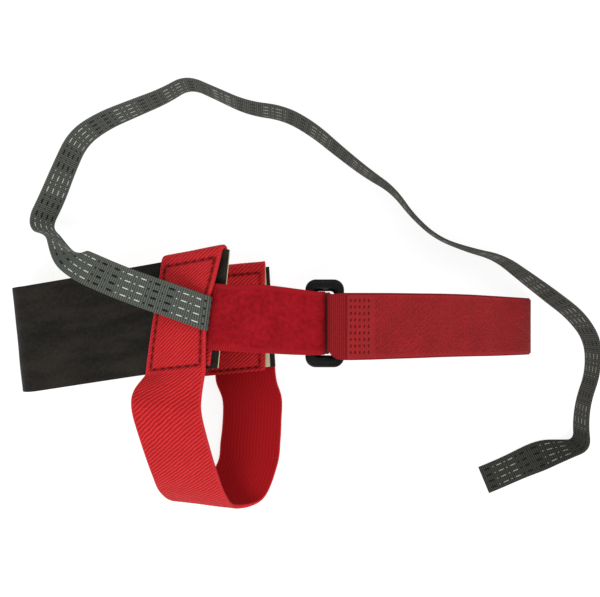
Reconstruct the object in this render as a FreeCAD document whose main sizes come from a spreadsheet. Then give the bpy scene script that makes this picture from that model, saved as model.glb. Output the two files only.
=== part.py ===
import FreeCAD, Part
import math
import os

import Sketcher
from FreeCAD import Matrix, Placement, Rotation, Vector

# A heel grounding strap, lying on a table: a U-shaped rubber strip of two layers with its bend to
# the left, a red elastic heel loop sewn round both rubber ends, a loop-tape strap that holds a
# ring, a hook-tape strap that comes up through the ring, and a woven grounding ribbon.
# All places below are measured from one point of the layout, and at() moves them so that the
# origin is under the middle of the object without its free ribbon. +Z is up.

DIMENSIONS = [
    ("layout_x", 10.9, "layout shift along X"),
    ("layout_y", 34.1, "layout shift along Y"),
    ("rubber_width", 45.0, "width of the rubber strip"),
    ("outer_layer", 1.4, "thickness of the black rubber"),
    ("inner_layer", 0.6, "thickness of the cream rubber"),
    ("bend_radius", 8.4, "radius of the rubber's bend, at mid thickness"),
    ("panel_slope", 23.0, "rise of the upper rubber arm at its end, degrees"),
    ("panel_lean", 7.5, "lean of the upper panel in plan, degrees"),
    ("arm_yaw", 8.0, "direction of the upper arm in plan, degrees"),
    ("elastic_width", 27.0, "width of the heel elastic"),
    ("elastic_thick", 1.7, "thickness of the heel elastic"),
    ("fit_gap", 0.2, "clearance between stacked layers"),
    ("pocket_rise", 3.3, "how far the pocket swells over the resistor"),
    ("strap_width", 25.0, "width of the hook and loop tapes"),
    ("strap_thick", 1.5, "thickness of the loop strap"),
    ("webbing_thick", 1.0, "thickness of the hook strap's webbing"),
    ("hook_thick", 1.2, "thickness of the hook tape"),
    ("ring_length", 34.0, "outer length of the ring"),
    ("ring_width", 15.0, "outer width of the ring"),
    ("ring_bar", 3.7, "width of the ring's long bars"),
    ("ring_end", 4.6, "width of the ring's end bars"),
    ("ring_thick", 3.2, "thickness of the ring"),
    ("ring_corner", 4.0, "outer corner radius of the ring"),
    ("ring_slot_corner", 1.6, "corner radius of the ring's opening"),
    ("ring_edge", 1.0, "rounding of the ring's edges"),
    ("ribbon_width", 12.7, "width of the grounding ribbon"),
    ("ribbon_thick", 0.9, "thickness of the grounding ribbon"),
    ("resistor_radius", 0.95, "radius of the resistor body"),
    ("resistor_length", 3.8, "length of the resistor body"),
    ("sleeve_radius", 1.2, "outer radius of the resistor's sleeve"),
    ("sleeve_length", 7.0, "length of the resistor's sleeve"),
    ("lead_radius", 0.25, "radius of the resistor's leads"),
    ("lead_length", 4.2, "length of each lead"),
    ("liner_length", 22.9, "length of the pocket liner along the arm"),
    ("liner_width", 27.6, "width of the pocket liner across the arm"),
    ("liner_thick", 0.5, "thickness of the pocket liner"),
    ("crimp_length", 3.6, "length of the ribbon's crimp"),
    ("crimp_width", 2.6, "width of the ribbon's crimp"),
    ("crimp_height", 1.4, "height of the ribbon's crimp"),
    ("stud_radius", 2.4, "radius of the contact stud"),
    ("stud_height", 0.9, "height of the contact stud"),
    ("stud_edge", 0.3, "rounding of the contact stud"),
    ("thread_width", 0.6, "width of one stitch"),
    ("thread_height", 0.3, "height of one stitch"),
    ("stitch_length", 2.0, "length of one stitch"),
]

# The free ribbon's route: x, y, z and how far its outer edge is turned up, in degrees.
RIBBON_ROUTE = [
    (-45.6, -1.6, 49.2, 0),
    (-56.6, 2.0, 47.6, 0),
    (-70.2, 6.8, 45.4, 0),
    (-87.0, 13.9, 41.0, 5),
    (-96.5, 19.5, 27.0, 15),
    (-105.0, 25.0, 13.5, 28),
    (-116.5, 32.0, 5.2, 48),
    (-110.2, 44.5, 6.0, 63),
    (-104.8, 58.0, 6.1, 65),
    (-98.8, 71.0, 6.2, 68),
    (-88.0, 78.6, 6.3, 73),
    (-74.0, 84.4, 6.4, 77),
    (-60.0, 90.0, 6.5, 82),
    (-49.5, 96.4, 6.5, 86),
    (-37.0, 90.8, 6.5, 84),
    (-23.0, 84.4, 6.5, 81),
    (-7.0, 82.4, 6.4, 79),
    (6.0, 75.0, 6.4, 78),
    (18.0, 64.8, 6.4, 82),
    (30.0, 55.4, 6.5, 86),
    (41.5, 48.0, 6.6, 93),
    (50.0, 36.4, 6.6, 97),
    (61.0, 26.6, 6.6, 97),
    (75.5, 21.4, 6.6, 91),
    (88.5, 18.2, 6.5, 86),
    (100.0, 9.6, 6.5, 79),
    (112.0, 0.6, 6.4, 74),
    (123.0, -8.0, 6.4, 75),
    (130.2, -19.0, 6.5, 83),
    (130.0, -33.0, 6.6, 90),
    (125.8, -45.0, 6.6, 90),
    (124.6, -55.5, 6.5, 87),
    (125.4, -65.0, 6.5, 84),
    (117.0, -67.0, 6.2, 66),
    (109.5, -69.4, 4.6, 38),
    (102.5, -73.6, 1.6, 8),
    (95.3, -77.3, 0.7, 0),
    (89.2, -80.0, 0.7, 0),
    (83.4, -82.4, 0.7, 0),
]

# Left and right edges of the heel loop between the two panels, at mid thickness.
LOOP_EDGES = [
    ((-64.3, -36.0, 41.0), (-37.2, -37.0, 46.4)),
    ((-64.3, -42.5, 43.6), (-37.2, -43.6, 46.4)),
    ((-61.6, -54.5, 41.6), (-35.5, -53.6, 43.4)),
    ((-59.0, -69.6, 34.0), (-32.9, -68.6, 35.5)),
    ((-56.9, -80.0, 23.5), (-30.3, -80.6, 25.5)),
    ((-53.5, -84.8, 13.5), (-26.5, -87.4, 15.0)),
    ((-45.5, -82.6, 5.6), (-18.4, -86.6, 6.6)),
    ((-38.3, -73.3, 2.6), (-11.2, -73.6, 3.0)),
    ((-36.3, -65.0, 1.4), (-9.4, -64.0, 1.6)),
    ((-35.1, -56.0, 0.95), (-8.4, -55.4, 1.0)),
    ((-35.1, -46.0, 0.95), (-8.2, -45.4, 0.95)),
    ((-38.0, -38.0, 0.95), (-10.6, -37.2, 0.95)),
]

BUILD = {}


def size(alias):
    return BUILD["sheet"].get(alias)


def at(x, y, z):
    """A point of the layout, in the part's frame."""
    return Vector(x + size("layout_x"), y + size("layout_y"), z)


# ---------------------------------------------------------------- shapes


def band(edge_a, edge_b, low, high):
    """A solid strip between two edge lines, from low to high along its outward normal."""
    sections = []
    last = len(edge_a) - 1
    for i, (a, b) in enumerate(zip(edge_a, edge_b, strict=True)):
        before, after = max(i - 1, 0), min(i + 1, last)
        along = edge_a[after] + edge_b[after] - edge_a[before] - edge_b[before]
        normal = along.cross(a - b).normalize()
        corners = [a + normal * low, a + normal * high, b + normal * high, b + normal * low]
        sections.append(Part.makePolygon(corners + corners[:1]))
    return Part.makeLoft(sections, True, True)


def smooth(points, steps=4):
    """Points on a Catmull-Rom curve through the given ones."""
    first = points[0] * 2 - points[1]
    last = points[-1] * 2 - points[-2]
    around = [first, *points, last]
    found = []
    for p, q, r, w in zip(around, around[1:], around[2:], around[3:], strict=False):
        for k in range(steps):
            t = k / steps
            linear = (r - p) * t
            square = (p * 2 - q * 5 + r * 4 - w) * t**2
            cube = (q * 3 - p - r * 3 + w) * t**3
            found.append((q * 2 + linear + square + cube) * 0.5)
    return [*found, points[-1]]


def strap(path, width, low, high, steps=4):
    """A strap whose width runs along Y, through points (x, y of its middle, z)."""
    middle = smooth([at(*p) for p in path], steps)
    half = Vector(0, width / 2, 0)
    return band([p + half for p in middle], [p - half for p in middle], low, high)


def arc_points(x, y, z, radius, start, end, count):
    """Points (x, y, z) on an arc in the XZ plane, from one angle to another in degrees."""
    angles = [math.radians(start + (end - start) * i / count) for i in range(count + 1)]
    return [(x + radius * math.cos(a), y, z + radius * math.sin(a)) for a in angles]


def stitch(centre, along, normal, length):
    """One stitch: a small bar that lies on a surface."""
    along = Vector(along).normalize()
    normal = Vector(normal).normalize()
    side = normal.cross(along)
    bar = Part.makeBox(
        length,
        size("thread_width"),
        size("thread_height"),
        Vector(-length / 2, -size("thread_width") / 2, 0.02),
    )
    columns = (along, side, normal, centre)
    rows = [[c[k] for c in columns] for k in range(3)]
    return bar.transformGeometry(Matrix(*rows[0], *rows[1], *rows[2], 0, 0, 0, 1))


def stitch_row(start, end, normal, pitch=3.0):
    """Stitches on a straight line from start to end."""
    way = end - start
    count = max(1, round(way.Length / pitch))
    centres = [start + way * ((i + 0.5) / count) for i in range(count)]
    return [stitch(c, way, normal, size("stitch_length")) for c in centres]


def box_rows(corners, normal):
    """Rows of stitches along a closed outline."""
    sides = zip(corners, [*corners[1:], corners[0]], strict=True)
    return [s for a, b in sides for s in stitch_row(a, b, normal)]


# ---------------------------------------------------------------- frames of the two panels


class Panel:
    """The end of the upper arm: u runs up the arm, v across it, n out of its outer face."""

    def __init__(self):
        slope, lean = (math.radians(size(k)) for k in ("panel_slope", "panel_lean"))
        yaw = math.radians(size("arm_yaw"))
        self.end = at(-28.8, -3.9, 46.4)
        self.level = Vector(math.cos(lean), -math.sin(lean), 0)
        self.v = Vector(math.sin(lean), math.cos(lean), 0)
        self.u = self.level * math.cos(slope) + Vector(0, 0, math.sin(slope))
        self.n = self.u.cross(self.v)
        self.arm = Vector(math.cos(yaw), math.sin(yaw), 0)
        self.arm.z = math.tan(slope) * self.arm.dot(self.level)
        self.skew = self.arm.dot(self.v) / (self.arm.dot(self.level) / math.cos(slope))

    def point(self, u, v, n):
        return self.end + self.u * u + self.v * v + self.n * n

    def place(self, u, v, n, axis="n"):
        """A placement whose X, Y and Z run along u, v and n, or whose Z runs along u."""
        if axis == "n":
            turn = Rotation(self.u, self.v, self.n, "ZXY")
        else:
            turn = Rotation(self.v, self.n, self.u, "ZXY")
        return Placement(self.point(u, v, n), turn)


ELASTIC_RIGHT = -2.9  # u of the elastic's right edge on the upper panel
FAR_LEVEL = 2.9  # height of the lower arm's mid thickness at its panel
POCKET_SKEW = 1.12  # moves the pocket's swelling towards the lower edge
LOWER_EDGE_RISE = 0.65  # room for the pocket liner at the lower edge
FAR_END = (-13.0, -8.1)  # x and y of the lower arm's end
FAR_BOW = 2.0  # how far the lower arm bows up the layout, beyond its panel
FAR_RIGHT_X = -15.6  # right edge of the elastic that lies on the lower arm
FAR_TOPS = (11.5, 14.1)  # y where the elastic's left and right edges turn over the lower arm
FAR_UNDER_LENGTH = 43.1  # length of the elastic's flat stretch under the lower arm
FAR_OVER_LENGTH = 46.1  # and of the one over it


def layer_offset():
    """From a rubber arm's mid thickness to the mid thickness of the elastic on it."""
    rubber = size("outer_layer") + size("inner_layer")
    return rubber / 2 + size("fit_gap") + size("elastic_thick") / 2


def pocket_offset(t):
    """The outer elastic's height over the arm, from the upper edge, t = 0, to the lower one."""
    swell = math.sin(math.pi * t**POCKET_SKEW)
    return layer_offset() + LOWER_EDGE_RISE * t + size("pocket_rise") * swell


# ---------------------------------------------------------------- rubber


def rubber_stations(panel):
    """Middle and across direction of the strip, from the lower arm's end round to the upper's."""
    radius = size("bend_radius")
    across_far = Vector(-0.063, 0.998, 0).normalize()
    across_bend = Vector(-0.104, 0.9946, 0).normalize()
    right = across_bend.cross(Vector(0, 0, 1))
    thick = size("outer_layer") + size("inner_layer")
    bend = at(-113.9, -17.0, radius + thick / 2)
    far_end = at(*FAR_END, FAR_LEVEL)
    foot = bend - Vector(0, 0, radius)
    way = foot - far_end
    stations = [(far_end, across_far)]
    for share in (0.16, 0.32, 0.55, 0.8):
        middle = far_end + way * share
        fall = max(0, share - 0.32) / 0.68
        middle.z = FAR_LEVEL + (foot.z - FAR_LEVEL) * fall
        middle.y += FAR_BOW * math.sin(math.pi * fall)
        stations.append((middle, across_far * (1 - share) + across_bend * share))
    turned, steps = 172, 12
    for i in range(steps + 1):
        angle = math.radians(-90 - turned * i / steps)
        out = right * (radius * math.cos(angle)) + Vector(0, 0, radius * math.sin(angle))
        stations.append((bend + out, across_bend))
    start = stations[-1][0]
    ramp = panel.end - panel.arm * 31.0
    rise_start = math.tan(math.radians(180 - turned))
    plan = Vector(ramp.x - start.x, ramp.y - start.y, 0)
    reach = (ramp.z - start.z - panel.arm.z * plan.Length) / (rise_start - panel.arm.z)
    knee = start + plan.normalize() * reach + Vector(0, 0, rise_start * reach)
    for i in range(1, 9):
        t = i / 8
        middle = start * (1 - t) ** 2 + knee * (2 * t * (1 - t)) + ramp * t**2
        stations.append((middle, across_bend * (1 - t) + panel.v * t))
    stations.append((panel.end, panel.v))
    return stations


def rubber_layer(panel, low, high, far_extra):
    """One layer of the strip; far_extra is how far it passes the lower arm's end, at each edge."""
    near_extra = (-1.1, 0.5)
    stations = rubber_stations(panel)
    half = size("rubber_width") / 2
    upper = [middle + across * (half / across.Length) for middle, across in stations]
    lower = [middle - across * (half / across.Length) for middle, across in stations]
    upper[0] += Vector(far_extra[0], 0, 0)
    lower[0] += Vector(far_extra[1], 0, 0)
    upper[-1] += panel.u * near_extra[0]
    lower[-1] += panel.u * near_extra[1]
    return band(upper, lower, low, high)


# ---------------------------------------------------------------- elastic


def edge_turn(point, start, offset, steps=6):
    """Points round a rubber edge: point(along, out) is given distances past it and above it."""
    angles = [math.radians(start - start * 2 * i / steps) for i in range(steps + 1)]
    return [point(offset * math.cos(a), offset * math.sin(a)) for a in angles]


def near_edge_line(panel, u):
    """One edge of the elastic on the upper panel: up the inner face, round, down the outer."""
    half = size("rubber_width") / 2
    top, foot = panel.skew * u + half - 0.2, panel.skew * u - half
    offset = layer_offset()
    inner = [panel.point(u, foot + (top - foot) * t, -offset) for t in (0.0, 0.33, 0.66)]
    turn = edge_turn(lambda out, up: panel.point(u, top + out, up), -90, offset)
    outer = []
    for i in range(1, 11):
        t = i / 10
        outer.append(panel.point(u, top + (foot - top) * t, pocket_offset(t)))
    return inner + turn + outer


def far_edge_line(x_top, top):
    """One edge of the elastic on the lower panel: under the arm, round its edge, back on top."""
    offset = layer_offset()
    x_low = x_top + FAR_UNDER_LENGTH * (FAR_TOPS[1] - FAR_TOPS[0]) / size("elastic_width")
    low_y = top - FAR_UNDER_LENGTH
    under = [
        at(x_low + (x_top - x_low) * t, low_y + (top - low_y) * t, FAR_LEVEL - offset)
        for t in (0.0, 0.33, 0.66)
    ]
    turn = edge_turn(lambda out, up: at(x_top, top + out, FAR_LEVEL + up), -90, offset)
    over = [at(x_top, top - FAR_OVER_LENGTH * t, FAR_LEVEL + offset) for t in (0.33, 0.66, 1.0)]
    return under + turn + over


def heel_elastic(panel):
    width, thick = size("elastic_width"), size("elastic_thick")
    left_loop = [at(*left) for left, _ in LOOP_EDGES]
    right_loop = [at(*right) for _, right in LOOP_EDGES]
    near_left = near_edge_line(panel, ELASTIC_RIGHT - width)
    near_right = near_edge_line(panel, ELASTIC_RIGHT)
    far_left = far_edge_line(FAR_RIGHT_X - width, FAR_TOPS[0])
    far_right = far_edge_line(FAR_RIGHT_X, FAR_TOPS[1])
    edges = []
    for near, loop, far in ((near_left, left_loop, far_left), (near_right, right_loop, far_right)):
        free = smooth([near[-1], *loop, far[0]], 3)
        edges.append(near[:-1] + free + far[1:])
    return band(edges[1], edges[0], -thick / 2, thick / 2)


# ---------------------------------------------------------------- straps

LOOP_STRAP_V = (9.2, -15.8)  # v of the loop strap's edges in the pocket of the upper panel
LOOP_STRAP_SEWN = (-6.8, -3.4, 0.0)  # u along its sewn end, between the rubber and the elastic
BAR_X, BAR_Z = 3.9, 40.6  # middle of the ring's left bar, where the loop strap holds it
STRAP_TURN_X = 5.5


def liner_top():
    """Height of the pocket liner's upper face over the arm's mid thickness."""
    return size("outer_layer") / 2 + size("inner_layer") / 2 + 0.1 + size("liner_thick")


def loop_strap_level():
    """Height of the loop strap's mid thickness over the arm, on the liner in the pocket."""
    return liner_top() + 0.1 + size("strap_thick") / 2


def loop_strap(panel):
    """Out of the upper panel's pocket to the ring, round its bar and back under itself."""
    half = size("strap_width") / 2 - 0.3
    path = [
        (-23.0, -7.6, 48.9),
        (-17.0, -7.9, 48.3),
        (-10.0, -8.4, 47.0),
        (-2.0, -9.0, 45.2),
        *arc_points(STRAP_TURN_X, -9.6, BAR_Z, 3.2, 90, -90, 8),
        (0.4, -9.4, 37.8),
        (-4.6, -9.1, 41.4),
        (-9.0, -8.6, 44.2),
        (-13.0, -8.4, 45.4),
        (-18.0, -8.2, 46.2),
    ]
    middle = [at(*p) for p in path]
    level = loop_strap_level()
    upper = [panel.point(u, LOOP_STRAP_V[0], level) for u in LOOP_STRAP_SEWN]
    lower = [panel.point(u, LOOP_STRAP_V[1], level) for u in LOOP_STRAP_SEWN]
    upper += [p + Vector(0, half, 0) for p in middle]
    lower += [p - Vector(0, half, 0) for p in middle]
    thick = size("strap_thick")
    return band(smooth(lower, 3), smooth(upper, 3), -thick / 2, thick / 2)


FAR_STRAP_PATH = [
    (-41.0, -11.4, 6.6),
    (-28.0, -11.2, 6.6),
    (-15.0, -11.0, 6.6),
    (-8.0, -10.8, 8.6),
    (-1.0, -10.6, 14.6),
    (5.0, -10.3, 22.6),
    (8.8, -10.0, 30.0),
    (10.6, -9.8, 36.0),
    (11.0, -9.8, 40.0),
    (11.0, -9.8, 43.8),
]

FLAP_PATH = [
    (11.8, -10.6, 45.8),
    (15.0, -10.6, 46.0),
    (20.0, -10.6, 45.7),
    (27.0, -10.6, 44.2),
    (36.0, -10.6, 41.2),
    (47.0, -10.7, 36.8),
    (58.0, -10.8, 31.9),
    (69.7, -11.1, 26.0),
    (81.0, -11.6, 18.9),
    (92.0, -12.1, 10.9),
    (103.4, -12.6, 1.6),
]
HOOK_START_X = 17.8


def hook_tape_middle():
    """The part of the flap's path that carries hook tape, as points (x, y, z)."""
    return [(HOOK_START_X, -10.6, 45.85)] + [p for p in FLAP_PATH if p[0] > HOOK_START_X]


def flap_point(x, y, height):
    """A point over the flap near its start, height above the webbing's mid thickness."""
    near, far = next((a, b) for a, b in zip(FLAP_PATH, FLAP_PATH[1:]) if a[0] <= x <= b[0])
    share = (x - near[0]) / (far[0] - near[0])
    return at(x, y, near[2] + (far[2] - near[2]) * share + height)


# ---------------------------------------------------------------- ribbon

RIBBON_FOLD_U, RIBBON_EXIT_V = -3.6, -1.9
RIBBON_ANGLE = math.radians(10.2)  # between the ribbon on the panel and the arm


def ribbon_levels():
    """Heights over the arm of the ribbon's end, on the loop strap, and of it on the pocket."""
    half, gap = size("ribbon_thick") / 2, 0.1
    inside = loop_strap_level() + size("strap_thick") / 2 + gap + half
    return inside, pocket_offset(0.48) + size("elastic_thick") / 2 + 0.35 + half


def ribbon_pocket_end(panel):
    """The ribbon's sewn end: out of the pocket and folded back round its edge."""
    low, high = ribbon_levels()
    radius, middle = (high - low) / 2, (high + low) / 2
    profile = [(u, low) for u in (-6.6, -5.0)]
    for i in range(9):
        angle = math.radians(-90 + 180 * i / 8)
        profile.append((RIBBON_FOLD_U + radius * math.cos(angle), middle + radius * math.sin(angle)))
    reach = -sum(math.dist(a, b) for a, b in zip(profile, profile[1:], strict=False))
    half = size("ribbon_width") / 2 / math.cos(RIBBON_ANGLE)
    edges = [], []
    for i, (u, n) in enumerate(profile):
        reach += math.dist(profile[i - 1], profile[i]) if i else 0
        v = RIBBON_EXIT_V + reach * math.tan(RIBBON_ANGLE)
        edges[0].append(panel.point(u, v - half, n))
        edges[1].append(panel.point(u, v + half, n))
    half_thick = size("ribbon_thick") / 2
    return band(edges[0], edges[1], -half_thick, half_thick)


def ribbon_stations(panel):
    """Points, directions and edge turns along the route: straight runs joined by tangent arcs."""
    start = panel.point(RIBBON_FOLD_U, RIBBON_EXIT_V, ribbon_levels()[1])
    route = [start] + [at(x, y, z) for x, y, z, _ in RIBBON_ROUTE]
    turns = [0.0] + [turn for *_, turn in RIBBON_ROUTE]
    stations = [(start, (route[1] - start).normalize(), 0.0)]
    length, ends, radii = 0.0, start, []
    for i in range(1, len(route) - 1):
        before, after = route[i] - route[i - 1], route[i + 1] - route[i]
        shorter = min(before.Length, after.Length)
        before.normalize()
        after.normalize()
        turn = before.getAngle(after)
        reach = 0.45 * shorter
        radius = reach / math.tan(turn / 2)
        radii.append(radius)
        inwards = (after - before).normalize()
        centre = route[i] + inwards * (radius / math.cos(turn / 2))
        twist = abs(turns[i + 1] - turns[i - 1])
        steps = max(2, round(math.degrees(turn) / 12), round(twist / 12))
        axis = before.cross(after).normalize()
        across = axis.cross(before)
        length += (route[i] - before * reach - ends).Length + radius * turn
        ends = route[i] + after * reach
        for k in range(steps + 1):
            angle = turn * k / steps
            way = before * math.cos(angle) + across * math.sin(angle)
            out = axis.cross(way)
            share = (k / steps - 0.5) * 0.9
            other = turns[i - 1] if share < 0 else turns[i + 1]
            edge = turns[i] + (other - turns[i]) * abs(share)
            stations.append((centre - out * radius, way, edge))
    stations.append((route[-1], after, turns[-1]))
    length += (route[-1] - ends).Length
    print(f"ribbon: length {length:.1f} mm, radii {[round(r, 1) for r in radii]}")
    return stations, length


def grounding_ribbon(panel):
    stations, length = ribbon_stations(panel)
    half, half_thick = size("ribbon_width") / 2, size("ribbon_thick") / 2
    edges = [], []
    for i, (middle, way, turn) in enumerate(stations):
        level = Vector(0, 0, 1).cross(way).normalize()
        raised = way.cross(level)
        angle = math.radians(turn)
        outer = (level * math.cos(angle) + raised * math.sin(angle)) * half
        if i == 0:
            outer = panel.v * (-half / math.cos(RIBBON_ANGLE))
        edges[0].append(middle + outer)
        edges[1].append(middle - outer)
    shape = band(edges[1], edges[0], -half_thick, half_thick)
    section = size("ribbon_width") * size("ribbon_thick")
    print(f"ribbon: volume {shape.Volume:.0f} mm3, section times length {section * length:.0f} mm3")
    return shape


# ---------------------------------------------------------------- stitching


def near_panel_stitching(panel):
    """Box stitching on the upper panel's outer face, one side at a time as the face swells."""
    half = size("rubber_width") / 2

    def on_face(u, t):
        top, foot = panel.skew * u + half - 0.2, panel.skew * u - half
        face = pocket_offset(t) + size("elastic_thick") / 2 + 0.1
        return panel.point(u, top + (foot - top) * t, face)

    left, right = ELASTIC_RIGHT - size("elastic_width") + 2.4, ELASTIC_RIGHT - 2.0
    corners = [(left, 0.05), (right, 0.05), (right, 0.96), (left, 0.96)]
    rows = []
    for (u0, t0), (u1, t1) in zip(corners, corners[1:] + corners[:1], strict=True):
        parts = 6
        for k in range(parts):
            ends = [
                on_face(u0 + (u1 - u0) * share, t0 + (t1 - t0) * share)
                for share in (k / parts, (k + 1) / parts)
            ]
            rows += stitch_row(*ends, panel.n, 3.6)
    return Part.Compound(rows)


def far_panel_stitching():
    top = FAR_LEVEL + layer_offset() + size("elastic_thick") / 2
    left, right = FAR_RIGHT_X - size("elastic_width") + 2.5, FAR_RIGHT_X - 2.5
    up = Vector(0, 0, 1)
    rows = stitch_row(at(left, 9.3, top), at(right, 11.5, top), up)
    rows += stitch_row(at(right, -30.5, top), at(left, -32.7, top), up)
    for x in (left, right):
        rows += stitch_row(at(x, 6.9, top), at(x, 1.5, top), up)
        rows += stitch_row(at(x, -26.5, top), at(x, -29.5, top), up)
    return Part.Compound(rows)


def loop_strap_seam_stitching(panel):
    """The loop strap's seam, on the inner face of the elastic's inner layer."""
    under = -layer_offset() - size("elastic_thick") / 2
    rows = []
    for u in (-6.2, -4.7):
        rows += stitch_row(panel.point(u, 7.5, under), panel.point(u, -14.0, under), -panel.n)
    return Part.Compound(rows)


def loop_strap_ring_tack():
    """The seam that closes the loop strap behind the ring, on its tail's under face."""
    right, left = (-13.4, 44.65), (-16.6, 45.15)
    normal = Vector(right[1] - left[1], 0, left[0] - right[0])
    corners = [at(x, y, z) for (x, z), y in zip((right, right, left, left), (-17.5, 1, 1, -17.5))]
    return Part.Compound(box_rows(corners, normal))


def far_strap_seam_stitching():
    top = 6.6 + size("webbing_thick") / 2 + 0.03
    corners = [(-38.0, -20.0), (-19.0, -20.0), (-19.0, -2.4), (-38.0, -2.4)]
    return Part.Compound(box_rows([at(x, y, top) for x, y in corners], Vector(0, 0, 1)))


def hook_tape_stitching():
    """A grid of short stitches where the hook tape starts."""
    height = size("webbing_thick") / 2 + 0.1 + size("hook_thick") + 0.12
    stitches = []
    for column in range(5):
        for row in range(9):
            spot = flap_point(19.2 + 1.75 * column, -20.4 + 2.45 * row, height)
            ahead = flap_point(19.9 + 1.75 * column, -20.4 + 2.45 * row, height)
            way = Vector(0, 1, 0)
            stitches.append(stitch(spot, way, (ahead - spot).cross(way), 1.1))
    return Part.Compound(stitches)


# ---------------------------------------------------------------- document objects


def make_sheet(doc):
    sheet = doc.addObject("Spreadsheet::Sheet", "Dimensions")
    for row, (alias, value, meaning) in enumerate(DIMENSIONS, start=1):
        sheet.set(f"A{row}", meaning)
        sheet.set(f"B{row}", str(value))
        sheet.setAlias(f"B{row}", alias)
    doc.recompute()
    return sheet


def add_shape(doc, label, shape):
    piece = doc.addObject("Part::Feature", label)
    piece.Label = label
    piece.Shape = shape
    return piece


def origin_plane(body, role):
    return next(f for f in body.Origin.OriginFeatures if f.Role == role)


def new_sketch(body, name):
    sketch = body.newObject("Sketcher::SketchObject", name)
    sketch.AttachmentSupport = (origin_plane(body, "XY_Plane"), [""])
    sketch.MapMode = "FlatFace"
    return sketch


def rectangle(sketch, wide, tall):
    """A rectangle about the sketch's origin, its sides bound to two expressions."""
    corners = [Vector(-2, -3, 0), Vector(2, -3, 0), Vector(2, 3, 0), Vector(-2, 3, 0)]
    for a, b in zip(corners, corners[1:] + corners[:1], strict=True):
        sketch.addGeometry(Part.LineSegment(a, b), False)
    for i in range(4):
        sketch.addConstraint(Sketcher.Constraint("Coincident", i, 2, (i + 1) % 4, 1))
    for i, kind in enumerate(("Horizontal", "Vertical", "Horizontal", "Vertical")):
        sketch.addConstraint(Sketcher.Constraint(kind, i))
    sketch.addConstraint(Sketcher.Constraint("Symmetric", 0, 1, 2, 1, -1, 1))
    for name, kind, line, bound in (("wide", "DistanceX", 0, wide), ("tall", "DistanceY", 1, tall)):
        number = sketch.addConstraint(Sketcher.Constraint(kind, line, 1, line, 2, 4.0))
        sketch.renameConstraint(number, name)
        sketch.setExpression(f"Constraints.{name}", bound)


def pad(body, sketch, name, length):
    feature = body.newObject("PartDesign::Pad", name)
    feature.Profile = sketch
    feature.setExpression("Length", length)
    feature.Midplane = True
    return feature


def upright_edges(shape, reach):
    """Names of the edges along Z whose distance from the origin passes the test reach."""
    names = []
    for i, edge in enumerate(shape.Edges, start=1):
        a, b = (v.Point for v in edge.Vertexes[:2]) if len(edge.Vertexes) > 1 else (None, None)
        if a is not None and abs(a.x - b.x) + abs(a.y - b.y) < 1e-6 and reach(abs(a.x)):
            names.append(f"Edge{i}")
    return names


def rim_edges(shape):
    """Names of the edges that lie in the top and bottom faces."""
    box = shape.BoundBox
    names = []
    for i, edge in enumerate(shape.Edges, start=1):
        rim = edge.BoundBox
        if rim.ZLength < 1e-6 and min(abs(rim.ZMin - box.ZMin), abs(rim.ZMax - box.ZMax)) < 1e-6:
            names.append(f"Edge{i}")
    return names


def fillet(doc, body, base, name, edges, radius):
    feature = body.newObject("PartDesign::Fillet", name)
    feature.Base = (base, edges)
    feature.setExpression("Radius", radius)
    doc.recompute()
    return feature


def rectangular_ring(doc):
    body = doc.addObject("PartDesign::Body", "RingBody")
    body.Label = "rectangular_ring"
    outline = new_sketch(body, "RingOutline")
    rectangle(outline, "Dimensions.ring_width", "Dimensions.ring_length")
    solid = pad(body, outline, "RingPad", "Dimensions.ring_thick")
    doc.recompute()
    corners = upright_edges(solid.Shape, lambda x: True)
    rounded = fillet(doc, body, solid, "RingCorners", corners, "Dimensions.ring_corner")
    slot = new_sketch(body, "RingSlot")
    rectangle(
        slot,
        "Dimensions.ring_width - 2 * Dimensions.ring_bar",
        "Dimensions.ring_length - 2 * Dimensions.ring_end",
    )
    opening = body.newObject("PartDesign::Pocket", "RingOpening")
    opening.Profile = slot
    opening.Type = 1
    opening.Midplane = True
    doc.recompute()
    if opening.Shape.Volume > rounded.Shape.Volume - 1:
        raise RuntimeError("the ring's opening cuts nothing")
    inside = size("ring_width") / 2 - size("ring_bar")
    slot_edges = upright_edges(opening.Shape, lambda x: abs(x - inside) < 1e-3)
    softened = fillet(doc, body, opening, "SlotCorners", slot_edges, "Dimensions.ring_slot_corner")
    fillet(doc, body, softened, "RingEdges", rim_edges(softened.Shape), "Dimensions.ring_edge")
    centre_x = BAR_X + (size("ring_width") - size("ring_bar")) / 2
    body.Placement = Placement(at(centre_x, -9.6, BAR_Z), Rotation())
    return body


RESISTOR_V = -14.5  # the resistor's axis, beside the ribbon's hidden end
RESISTOR_U = -20.4  # left end of its sleeve
LINER_RIGHT, LINER_LOW_V = -1.9, -22.0  # u and v of the pocket liner's lower right corner


def resistor_height():
    return liner_top() + 0.05 + size("sleeve_radius")


def cylinder(doc, label, radius, height, placement):
    rod = doc.addObject("Part::Cylinder", label)
    rod.Label = label
    rod.setExpression("Radius", radius)
    rod.setExpression("Height", height)
    rod.Placement = placement
    return rod


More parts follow.
